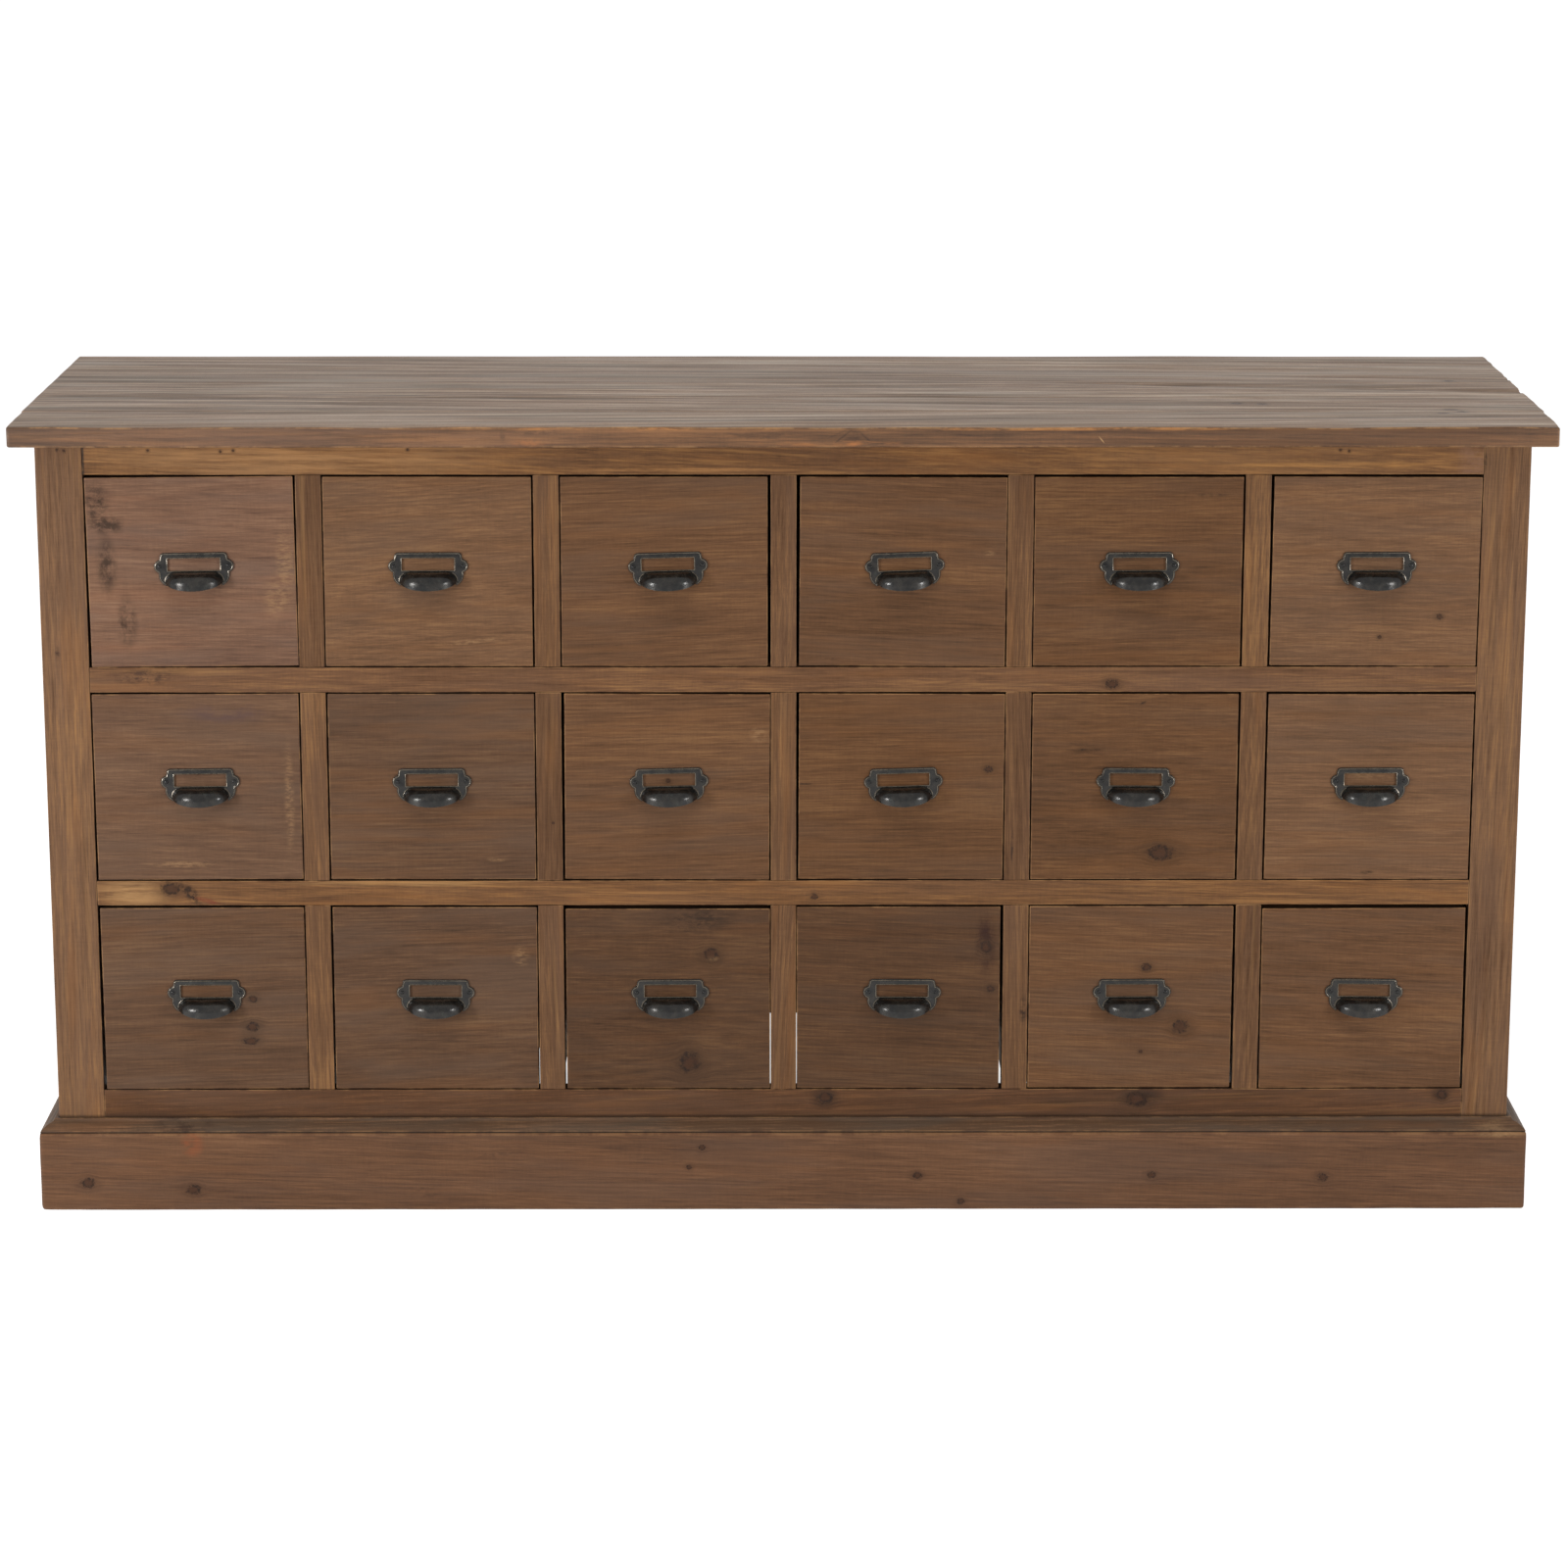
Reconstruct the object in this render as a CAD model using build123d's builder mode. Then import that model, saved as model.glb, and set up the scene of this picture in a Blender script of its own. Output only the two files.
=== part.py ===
import os

from build123d import *

# Apothecary chest: a reclaimed-wood carcass with three rows of six drawers, each
# with a label-holder cup pull. Millimetres, +Z up. The origin is on the floor under
# the middle of the top. The front looks along -Y and +X is to the right.

os.makedirs("parts", exist_ok=True)

# Top
top_length = 1600.0
top_depth = 500.0
chest_height = 850.0
top_thickness = 22.5
top_overhang = 25.0
top_board_count = 5
top_arris = 2.0
seam_arris = 0.6

# Face frame
column_count = 6
row_count = 3
frame_thickness = 22.0
stile_width = 49.0
muntin_width = 27.0
top_rail_height = 32.5
mid_rail_height = 27.0
bottom_rail_height = 70.0
bottom_rail_show = 30.5
tenon_thickness = 8.0
tenon_shoulder = 4.0
rail_tenon = 20.0
muntin_tenon = 6.0

# Plinth and the moulding on it
plinth_height = 86.0
plinth_thickness = 19.3
plinth_arris = 2.5
plinth_corner = 4.0
moulding_height = 12.5
moulding_setback = 1.5
moulding_nose = 1.8
moulding_ledge = 4.5
cove_depth = 2.0
cove_drop = 3.2
glue_block = 25.0
glue_block_height = 60.0

# Carcass behind the face frame
side_thickness = 18.0
side_board_count = 3
back_thickness = 6.0
back_rabbet = 9.0
back_clear_floor = 72.0
divider_thickness = 12.0
rear_rail_thickness = 22.0
rear_rail_height = 27.0
runner_width = 30.0
runner_drop = 22.0
stop_length = 21.7
stop_height = 22.0
top_block = 22.0
top_block_length = 60.0

# Drawers
front_gap = 1.5
front_thickness = 20.0
front_arris = 1.2
side_setback = 6.0
box_side_thickness = 12.0
box_back_thickness = 12.0
box_bottom_thickness = 6.0
housing_depth = 6.0
groove_depth = 5.0
box_lift = 3.0
box_top_gap = 12.0
back_top_gap = 6.0
guide_height = 16.0
guide_width = 12.0
runner_top_play = 0.3
runner_side_play = 0.75
stop_play = 0.3

# Pull: a window for a label above a hooded cup
pull_top = 122.5
pull_shifts = (3.0, 0.0, 3.0, 3.0, 1.0, 1.5)
window_width = 55.0
window_height = 14.0
top_bar = 5.5
side_bar = 7.5
lower_bar = 1.0
ear_reach = 6.5
ear_drop = 14.2
ear_half_height = 6.4
ear_root_top = 1.4
ear_root_foot = 3.2
plate_corner = 4.0
plate_thickness = 1.6
bead_width = 1.3
bead_height = 0.8
hood_margin = 3.0
hood_depth = 24.0
hood_height = 16.3
hood_rim_rise = 7.4
hood_round = 10.5
hood_wall = 1.8
cheek_radius = 13.5
cheek_lift = 2.0

# Fasteners
pin_radius = 1.1
pin_length = 14.0
pin_head_radius = 2.3
pin_head_height = 1.2
pin_in_from_side = 0.8
screw_radius = 2.0
screw_head_radius = 4.0
screw_head_height = 2.5
screw_bite = 15.0
nail_radius = 0.9
nail_head_radius = 2.5
nail_head_height = 1.0
nail_length = 20.0
nails_per_side = 5
pilot_play = 0.05

# Where the faces of the pieces lie
carcass_width = top_length - 2 * top_overhang
x_side = carcass_width / 2
y_front = -top_depth / 2 + top_overhang
y_frame_back = y_front + frame_thickness
y_back = top_depth / 2
y_panel = y_back - back_thickness
y_rear_rail = y_panel - rear_rail_thickness
z_under_top = chest_height - top_thickness
z_moulding_top = plinth_height + moulding_height
z_bottom_rail_top = z_moulding_top + bottom_rail_show
rail_span = carcass_width - 2 * stile_width
inner_width = carcass_width - 2 * side_thickness
opening_width = (rail_span - (column_count - 1) * muntin_width) / column_count
openings_stack = z_under_top - top_rail_height - z_bottom_rail_top
opening_height = (openings_stack - (row_count - 1) * mid_rail_height) / row_count
column_pitch = opening_width + muntin_width
row_pitch = opening_height + mid_rail_height
x_columns = [(i - (column_count - 1) / 2) * column_pitch for i in range(column_count)]
x_muntins = [x + column_pitch / 2 for x in x_columns[:-1]]
z_floors = [z_bottom_rail_top + i * row_pitch for i in reversed(range(row_count))]

# Drawer box, measured from the middle of its opening and the opening's floor
front_width = opening_width - 2 * front_gap
y_front_back = y_front + front_thickness
box_half = front_width / 2 - side_setback
bottom_half = box_half - box_side_thickness + groove_depth
y_drawer_end = y_rear_rail - stop_length - stop_play
z_bottom = box_lift + guide_height
z_box_top = opening_height - box_top_gap
runner_top = z_bottom - runner_top_play

# Pull, measured from the middle of its top edge on the drawer front
plate_half = window_width / 2 + side_bar
pull_half = plate_half + ear_reach
hood_half = window_width / 2 + hood_margin
z_window = -top_bar - window_height
z_hood_top = z_window - lower_bar
z_rim = z_hood_top - hood_height
x_pin = plate_half + pin_in_from_side


def bar(x_from, x_to, y_from, y_to, z_from, z_to, mode=Mode.ADD):
    """A square-edged stick between two corners."""
    with Locations(((x_from + x_to) / 2, (y_from + y_to) / 2, (z_from + z_to) / 2)):
        Box(x_to - x_from, y_to - y_from, z_to - z_from, mode=mode)


def write_group(name, pieces):
    """One node of several separate pieces."""
    group = Compound(label=name, children=pieces)
    export_step(group, f"parts/{name}.step")


# Top: boards side by side, held by screws from below
def top_screw_places():
    y_rows = (y_frame_back + top_block / 2, y_rear_rail + rear_rail_thickness / 2)
    return [(x, y) for x in x_columns for y in y_rows]


def top_board(index):
    board_width = top_depth / top_board_count
    y_from = -top_depth / 2 + index * board_width
    y_to = y_from + board_width
    with BuildPart() as board:
        bar(-top_length / 2, top_length / 2, y_from, y_to, z_under_top, chest_height)
        upper = board.edges().filter_by(Axis.X).group_by(Axis.Z)[-1].sort_by(Axis.Y)
        if index == 0:
            front_edges = board.edges().filter_by(Axis.X).group_by(Axis.Y)[0]
            fillet(upper[-1], seam_arris)
            fillet(front_edges, top_arris)
        else:
            fillet(upper, seam_arris)
        for x, y in top_screw_places():
            if y_from < y < y_to:
                with Locations((x, y, z_under_top)):
                    Cylinder(
                        screw_radius + pilot_play,
                        screw_bite + pilot_play,
                        align=(Align.CENTER, Align.CENTER, Align.MIN),
                        mode=Mode.SUBTRACT,
                    )
    board.part.label = f"top_board_{index + 1}"
    return board.part


write_group("top_boards", [top_board(i) for i in range(top_board_count)])


def top_screw(x, y, z_seat):
    with BuildPart() as screw:
        with Locations((x, y, z_seat)):
            Cylinder(
                screw_radius,
                z_under_top + screw_bite - z_seat,
                align=(Align.CENTER, Align.CENTER, Align.MIN),
            )
            Cylinder(
                screw_head_radius,
                screw_head_height,
                align=(Align.CENTER, Align.CENTER, Align.MAX),
            )
        fillet(screw.edges().filter_by(GeomType.CIRCLE).sort_by(Axis.Z)[0], screw_head_height / 3)
    screw.part.label = "top_screw"
    return screw.part


def top_glue_block(x):
    with BuildPart() as block:
        bar(
            x - top_block_length / 2,
            x + top_block_length / 2,
            y_frame_back,
            y_frame_back + top_block,
            z_under_top - top_block,
            z_under_top,
        )
        with Locations((x, y_frame_back + top_block / 2, z_under_top)):
            Cylinder(screw_radius + pilot_play, 3 * top_block, mode=Mode.SUBTRACT)
    block.part.label = "top_glue_block"
    return block.part


screw_seats = {
    y_frame_back + top_block / 2: z_under_top - top_block,
    y_rear_rail + rear_rail_thickness / 2: z_under_top - rear_rail_height,
}
write_group("top_screws", [top_screw(x, y, screw_seats[y]) for x, y in top_screw_places()])


# Face frame: two stiles, four rails tenoned into them, and short muntins between
rail_levels = {
    "rail_top": (z_under_top - top_rail_height, z_under_top),
    "rail_bottom": (z_bottom_rail_top - bottom_rail_height, z_bottom_rail_top),
}
for i, z_floor in enumerate(z_floors[:-1], start=1):
    rail_levels[f"rail_mid_{i}"] = (z_floor - mid_rail_height, z_floor)
y_tenon = (y_front + y_frame_back) / 2


def stile(side):
    x_outer = side * x_side
    x_inner = side * (x_side - stile_width)
    x_tenon = side * (x_side - stile_width + rail_tenon)
    with BuildPart() as post:
        bar(min(x_outer, x_inner), max(x_outer, x_inner), y_front, y_frame_back, 0, z_under_top)
        for z_from, z_to in rail_levels.values():
            bar(
                min(x_inner, x_tenon),
                max(x_inner, x_tenon),
                y_tenon - tenon_thickness / 2,
                y_tenon + tenon_thickness / 2,
                z_from + tenon_shoulder,
                z_to - tenon_shoulder,
                mode=Mode.SUBTRACT,
            )
    return post


stile_left = stile(-1)
stile_left.part.label = "stile_left"
export_step(stile_left.part, "parts/stile_left.step")
stile_right = stile(1)
stile_right.part.label = "stile_right"
export_step(stile_right.part, "parts/stile_right.step")


def muntin_tenon_at(x, z_from, z_to, mode):
    bar(
        x - muntin_width / 2 + tenon_shoulder,
        x + muntin_width / 2 - tenon_shoulder,
        y_tenon - tenon_thickness / 2,
        y_tenon + tenon_thickness / 2,
        z_from,
        z_to,
        mode=mode,
    )


for rail_name, (z_from, z_to) in rail_levels.items():
    with BuildPart() as rail:
        bar(-rail_span / 2, rail_span / 2, y_front, y_frame_back, z_from, z_to)
        bar(
            -rail_span / 2 - rail_tenon,
            rail_span / 2 + rail_tenon,
            y_tenon - tenon_thickness / 2,
            y_tenon + tenon_thickness / 2,
            z_from + tenon_shoulder,
            z_to - tenon_shoulder,
        )
        for x in x_muntins:
            if rail_name != "rail_bottom":
                muntin_tenon_at(x, z_from, z_from + muntin_tenon, Mode.SUBTRACT)
            if rail_name != "rail_top":
                muntin_tenon_at(x, z_to - muntin_tenon, z_to, Mode.SUBTRACT)
    rail.part.label = rail_name
    export_step(rail.part, f"parts/{rail_name}.step")


def muntin(x, z_floor):
    z_head = z_floor + opening_height
    with BuildPart() as upright:
        bar(x - muntin_width / 2, x + muntin_width / 2, y_front, y_frame_back, z_floor, z_head)
        muntin_tenon_at(x, z_floor - muntin_tenon, z_head + muntin_tenon, Mode.ADD)
    upright.part.label = "muntin"
    return upright.part


write_group("muntins", [muntin(x, z) for z in z_floors for x in x_muntins])


# Plinth: three boards mitred at the front corners, with a moulding on top
x_plinth = x_side + plinth_thickness
y_plinth = y_front - plinth_thickness
mitre_left = Plane(origin=(-x_side, y_front, 0), x_dir=(0, 0, 1), z_dir=(1, -1, 0))
mitre_right = Plane(origin=(x_side, y_front, 0), x_dir=(0, 0, 1), z_dir=(-1, -1, 0))


def cut_mitres(side):
    """The front run lies between the mitres, and a side run beyond one of them."""
    if side == 0:
        split(bisect_by=mitre_left, keep=Keep.TOP)
        split(bisect_by=mitre_right, keep=Keep.TOP)
    elif side < 0:
        split(bisect_by=mitre_left, keep=Keep.BOTTOM)
    else:
        split(bisect_by=mitre_right, keep=Keep.BOTTOM)


def run_plane(side):
    """The section plane of a run: its x points away from the face, its y up."""
    if side == 0:
        return Plane(origin=(x_plinth, y_front, 0), x_dir=(0, -1, 0), z_dir=(-1, 0, 0))
    if side < 0:
        return Plane(origin=(-x_side, y_plinth, 0), x_dir=(-1, 0, 0), z_dir=(0, 1, 0))
    return Plane(origin=(x_side, y_back, 0), x_dir=(1, 0, 0), z_dir=(0, -1, 0))


def run_length(side):
    return 2 * x_plinth if side == 0 else y_back - y_plinth


def plinth_board(side):
    with BuildPart() as board:
        with BuildSketch(run_plane(side)):
            with BuildLine():
                outer = plinth_thickness - plinth_arris
                Polyline(
                    (outer, plinth_height),
                    (0, plinth_height),
                    (0, 0),
                    (plinth_thickness, 0),
                    (plinth_thickness, plinth_height - plinth_arris),
                )
                RadiusArc(
                    (plinth_thickness, plinth_height - plinth_arris),
                    (outer, plinth_height),
                    -plinth_arris,
                )
            make_face()
        extrude(amount=run_length(side))
        cut_mitres(side)
        with BuildSketch(Plane.XY):
            with Locations((0, y_plinth)):
                RectangleRounded(
                    2 * x_plinth,
                    2 * top_depth,
                    plinth_corner,
                    align=(Align.CENTER, Align.MIN),
                )
        extrude(amount=plinth_height, mode=Mode.INTERSECT)
    return board


def moulding_strip(side):
    reach = plinth_thickness - moulding_setback
    with BuildPart() as strip:
        with BuildSketch(run_plane(side)):
            with BuildLine():
                low = plinth_height
                high = z_moulding_top
                Polyline((moulding_ledge, high), (0, high), (0, low), (reach, low), (reach, low + moulding_nose))
                cove_foot = (moulding_ledge + cove_depth, high - cove_drop)
                Spline(
                    (reach, low + moulding_nose),
                    cove_foot,
                    tangents=((-1, 1.2), (-1, 0.15)),
                )
                RadiusArc(cove_foot, (moulding_ledge, high), cove_drop)
            make_face()
        extrude(amount=run_length(side))
        cut_mitres(side)
    return strip


for side, where in ((0, "front"), (-1, "left"), (1, "right")):
    plinth = plinth_board(side)
    plinth.part.label = f"plinth_{where}"
    export_step(plinth.part, f"parts/plinth_{where}.step")
    moulding = moulding_strip(side)
    moulding.part.label = f"moulding_{where}"
    export_step(moulding.part, f"parts/moulding_{where}.step")


def glue_block_at(x_from, x_to, y_from, y_to, z_from, z_to):
    with BuildPart() as block:
        bar(x_from, x_to, y_from, y_to, z_from, z_to)
    block.part.label = "glue_block"
    return block.part


x_inside = inner_width / 2
z_rail_foot = z_bottom_rail_top - bottom_rail_height
glue_blocks = [
    glue_block_at(
        x - glue_block_height / 2,
        x + glue_block_height / 2,
        y_front,
        y_frame_back,
        z_rail_foot - glue_block,
        z_rail_foot,
    )
    for x in x_muntins[::2]
]
for side in (-1, 1):
    x_pair = sorted((side * x_inside, side * (x_inside - glue_block)))
    glue_blocks.append(
        glue_block_at(*x_pair, y_frame_back, y_frame_back + glue_block, 0, glue_block_height)
    )
glue_blocks += [top_glue_block(x) for x in x_columns]
write_group("glue_blocks", glue_blocks)


# Sides: upright boards edge to edge, rabbeted at the back for the back panel
def nail_places():
    sides = [(side * (x_side - side_thickness + back_rabbet / 2), z) for side in (-1, 1) for z in z_nails]
    rails = [(x, z) for x in x_muntins for z in (z_top_rail_nail, z_bottom_rail_nail)]
    return sides + rails


z_top_rail_nail = z_under_top - rear_rail_height / 2
z_bottom_rail_nail = z_bottom_rail_top - rear_rail_height / 2
nail_step = (z_top_rail_nail - z_bottom_rail_nail) / (nails_per_side - 1)
z_nails = [z_bottom_rail_nail + i * nail_step for i in range(nails_per_side)]


def nail_holes():
    shank = nail_length + pilot_play
    with Locations(*[(x, y_back, z) for x, z in nail_places()]):
        Cylinder(nail_radius + pilot_play, 2 * shank, rotation=(90, 0, 0), mode=Mode.SUBTRACT)


def side_board(side, index):
    board_width = (y_back - y_frame_back) / side_board_count
    y_from = y_frame_back + index * board_width
    y_to = y_from + board_width
    x_pair = sorted((side * x_side, side * (x_side - side_thickness)))
    with BuildPart() as board:
        bar(*x_pair, y_from, y_to, 0, z_under_top)
        outer = board.edges().filter_by(Axis.Z).group_by(Axis.X)[-1 if side > 0 else 0]
        fillet(outer, seam_arris)
        if index == side_board_count - 1:
            x_rabbet = sorted((side * (x_side - side_thickness), side * (x_side - side_thickness + back_rabbet)))
            bar(*x_rabbet, y_panel, y_back, back_clear_floor, z_under_top, mode=Mode.SUBTRACT)
            nail_holes()
    board.part.label = f"side_board_{index + 1}"
    return board.part


for side, where in ((-1, "left"), (1, "right")):
    write_group(f"side_{where}", [side_board(side, i) for i in range(side_board_count)])


# Back: a thin panel that stops above the floor, nailed to the sides and rear rails
with BuildPart() as back_panel:
    x_edge = x_inside + back_rabbet
    bar(-x_edge, x_edge, y_panel, y_back, back_clear_floor, z_under_top)
    nail_holes()
    with Locations(*[(x, y_back, z) for x, z in nail_places()]):
        Cylinder(
            nail_head_radius + pilot_play,
            2 * (nail_head_height + pilot_play),
            rotation=(90, 0, 0),
            mode=Mode.SUBTRACT,
        )
back_panel.part.label = "back_panel"
export_step(back_panel.part, "parts/back_panel.step")


def back_nail(x, z):
    with BuildPart() as nail:
        with BuildSketch(Plane.XZ.offset(-y_back)):
            with Locations((x, z)):
                Circle(nail_head_radius)
        extrude(amount=nail_head_height)
        with BuildSketch(Plane.XZ.offset(-y_back)):
            with Locations((x, z)):
                Circle(nail_radius)
        extrude(amount=nail_length)
    nail.part.label = "back_nail"
    return nail.part


write_group("back_nails", [back_nail(x, z) for x, z in nail_places()])


# Rear rails: they carry the back ends of the runners
def rear_rail(z_level):
    with BuildPart() as rail:
        bar(-x_inside, x_inside, y_rear_rail, y_panel, z_level - rear_rail_height, z_level)
        if z_level == z_under_top:
            with Locations(*[(x, y_rear_rail + rear_rail_thickness / 2, z_level) for x in x_columns]):
                Cylinder(screw_radius + pilot_play, 3 * rear_rail_height, mode=Mode.SUBTRACT)
        nail_holes()
    rail.part.label = "rear_rail"
    return rail.part


write_group("rear_rails", [rear_rail(z) for z in (z_under_top, *z_floors)])


# Dividers: thin upright panels between the columns
def divider(x):
    z_foot = z_bottom_rail_top - rear_rail_height
    with BuildPart() as panel:
        bar(
            x - divider_thickness / 2,
            x + divider_thickness / 2,
            y_frame_back,
            y_rear_rail,
            z_foot,
            z_under_top,
        )
    panel.part.label = "divider"
    return panel.part


write_group("dividers", [divider(x) for x in x_muntins])


# Runners: one under the middle of each drawer, with a stop at its back end
def runner(x, z_floor):
    with BuildPart() as stick:
        bar(
            x - runner_width / 2,
            x + runner_width / 2,
            y_frame_back,
            y_rear_rail,
            z_floor - runner_drop,
            z_floor + runner_top,
        )
    stick.part.label = "runner"
    return stick.part


def drawer_stop(x, z_floor):
    z_seat = z_floor + runner_top
    with BuildPart() as stop:
        bar(
            x - runner_width / 2,
            x + runner_width / 2,
            y_rear_rail - stop_length,
            y_rear_rail,
            z_seat,
            z_seat + stop_height,
        )
    stop.part.label = "drawer_stop"
    return stop.part


write_group("drawer_runners", [runner(x, z) for z in z_floors for x in x_columns])
write_group("drawer_stops", [drawer_stop(x, z) for z in z_floors for x in x_columns])


# Drawer: an inset front, and a box that is narrower than it
def drawer_front(pull_shift):
    with BuildPart() as front:
        bar(
            -front_width / 2,
            front_width / 2,
            y_front,
            y_front_back,
            front_gap,
            opening_height - front_gap,
        )
        fillet(front.faces().sort_by(Axis.Y)[0].edges(), front_arris)
        for side in (-1, 1):
            x_pair = sorted((side * box_half, side * (box_half - box_side_thickness)))
            bar(*x_pair, y_front_back - housing_depth, y_front_back, box_lift, z_box_top, mode=Mode.SUBTRACT)
        bar(
            -bottom_half,
            bottom_half,
            y_front_back - housing_depth,
            y_front_back,
            z_bottom,
            z_bottom + box_bottom_thickness,
            mode=Mode.SUBTRACT,
        )
        with Locations(*[(pull_shift + side * x_pin, y_front, pull_top - ear_drop) for side in (-1, 1)]):
            Cylinder(
                pin_radius + pilot_play,
                2 * (pin_length - plate_thickness + pilot_play),
                rotation=(90, 0, 0),
                mode=Mode.SUBTRACT,
            )
    front.part.label = "front"
    return front.part


def drawer_side(side):
    x_pair = sorted((side * box_half, side * (box_half - box_side_thickness)))
    x_groove = sorted((side * bottom_half, side * (box_half - box_side_thickness)))
    with BuildPart() as board:
        bar(*x_pair, y_front_back - housing_depth, y_drawer_end, box_lift, z_box_top)
        bar(
            *x_groove,
            y_front_back - housing_depth,
            y_drawer_end,
            z_bottom,
            z_bottom + box_bottom_thickness,
            mode=Mode.SUBTRACT,
        )
    board.part.label = "side_left" if side < 0 else "side_right"
    return board.part


def drawer_back():
    x_inner = box_half - box_side_thickness
    with BuildPart() as board:
        bar(
            -x_inner,
            x_inner,
            y_drawer_end - box_back_thickness,
            y_drawer_end,
            z_bottom + box_bottom_thickness,
            z_box_top - back_top_gap,
        )
    board.part.label = "back"
    return board.part


def drawer_bottom():
    with BuildPart() as panel:
        bar(
            -bottom_half,
            bottom_half,
            y_front_back - housing_depth,
            y_drawer_end,
            z_bottom,
            z_bottom + box_bottom_thickness,
        )
    panel.part.label = "bottom"
    return panel.part


def drawer_guide(side):
    x_near = runner_width / 2 + runner_side_play
    x_pair = sorted((side * x_near, side * (x_near + guide_width)))
    with BuildPart() as strip:
        bar(*x_pair, y_front_back, y_drawer_end, box_lift, z_bottom)
    strip.part.label = "guide_left" if side < 0 else "guide_right"
    return strip.part


# Pull: one casting with two pins
ear_top = (plate_half + ear_root_top, -ear_drop + ear_half_height)
ear_foot = (plate_half + ear_root_foot, -ear_drop - ear_half_height)
cheek_foot = (hood_half - hood_wall / 2, z_rim + cheek_lift)
with BuildSketch() as plate_outline:
    with BuildLine():
        Line((0, 0), (plate_half - plate_corner, 0))
        RadiusArc((plate_half - plate_corner, 0), (plate_half, -plate_corner), plate_corner)
        Line((plate_half, -plate_corner), ear_top)
        ThreePointArc(ear_top, (pull_half, -ear_drop), ear_foot)
        RadiusArc(ear_foot, cheek_foot, cheek_radius)
        Line(cheek_foot, (0, cheek_foot[1]))
        mirror(about=Plane.YZ)
    make_face()

with BuildPart() as hood_outer:
    with BuildSketch(Plane.XY.offset(z_rim)):
        Ellipse(hood_half, hood_depth)
    extrude(amount=hood_height)
    fillet(hood_outer.edges().group_by(Axis.Z)[-1], hood_round)
    # the rim rises from the front of the cup to the plate
    with BuildSketch(Plane.YZ.offset(-hood_half)):
        with BuildLine():
            Polyline((0, z_rim), (0, z_rim + hood_rim_rise), (-hood_depth, z_rim), close=True)
        make_face()
    extrude(amount=2 * hood_half, mode=Mode.SUBTRACT)

with BuildPart() as hood_inner:
    with BuildSketch(Plane.XY.offset(z_rim)):
        Ellipse(hood_half - hood_wall, hood_depth - hood_wall)
    extrude(amount=hood_height - hood_wall)
    fillet(hood_inner.edges().group_by(Axis.Z)[-1], hood_round - hood_wall)

with BuildPart() as pull_casting:
    with BuildSketch(Plane.XZ):
        add(plate_outline.sketch)
    extrude(amount=plate_thickness)
    with BuildSketch(Plane.XZ.offset(plate_thickness)):
        add(plate_outline.sketch)
        offset(plate_outline.sketch, amount=-bead_width, mode=Mode.SUBTRACT)
    extrude(amount=bead_height)
    with BuildSketch(Plane.XZ.offset(plate_thickness)):
        with Locations((0, z_window + window_height / 2)):
            Rectangle(window_width + 2 * bead_width, window_height + 2 * bead_width)
    extrude(amount=bead_height)
    add(hood_outer.part)
    add(hood_inner.part, mode=Mode.SUBTRACT)
    with BuildSketch(Plane.XZ.offset(-hood_depth)):
        Rectangle(4 * pull_half, 4 * pull_half)
    extrude(amount=hood_depth, mode=Mode.SUBTRACT)
    with BuildSketch(Plane.XZ):
        with Locations((0, z_window + window_height / 2)):
            Rectangle(window_width, window_height)
    extrude(amount=plate_thickness + bead_height, mode=Mode.SUBTRACT)
    with Locations(*[(side * x_pin, 0, -ear_drop) for side in (-1, 1)]):
        Cylinder(pin_radius + pilot_play, 4 * plate_thickness, rotation=(90, 0, 0), mode=Mode.SUBTRACT)
pull_casting.part.label = "pull_casting"


def pull_pin(side):
    with BuildPart() as pin:
        with BuildSketch(Plane.XZ.offset(plate_thickness)):
            with Locations((side * x_pin, -ear_drop)):
                Circle(pin_head_radius)
        extrude(amount=pin_head_height)
        fillet(pin.faces().sort_by(Axis.Y)[0].edges(), pin_head_height / 2)
        with BuildSketch(Plane.XZ.offset(plate_thickness)):
            with Locations((side * x_pin, -ear_drop)):
                Circle(pin_radius)
        extrude(amount=-pin_length)
    pin.part.label = "pull_pin"
    return pin.part


pull_pieces = [pull_casting.part, pull_pin(-1), pull_pin(1)]
box_pieces = [
    drawer_side(-1),
    drawer_side(1),
    drawer_back(),
    drawer_bottom(),
    drawer_guide(-1),
    drawer_guide(1),
]
for row, z_floor in enumerate(z_floors, start=1):
    for column, x in enumerate(x_columns, start=1):
        shift = pull_shifts[(column - 1) % len(pull_shifts)]
        at_opening = Location((x, 0, z_floor))
        at_pull = Location((x + shift, y_front, z_floor + pull_top))
        drawer = [piece.moved(at_opening) for piece in [drawer_front(shift), *box_pieces]]
        write_group(f"drawer_r{row}c{column}", drawer)
        write_group(f"pull_r{row}c{column}", [piece.moved(at_pull) for piece in pull_pieces])
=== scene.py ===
import math

import bmesh
import bpy
import numpy as np
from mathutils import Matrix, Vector, noise


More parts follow.
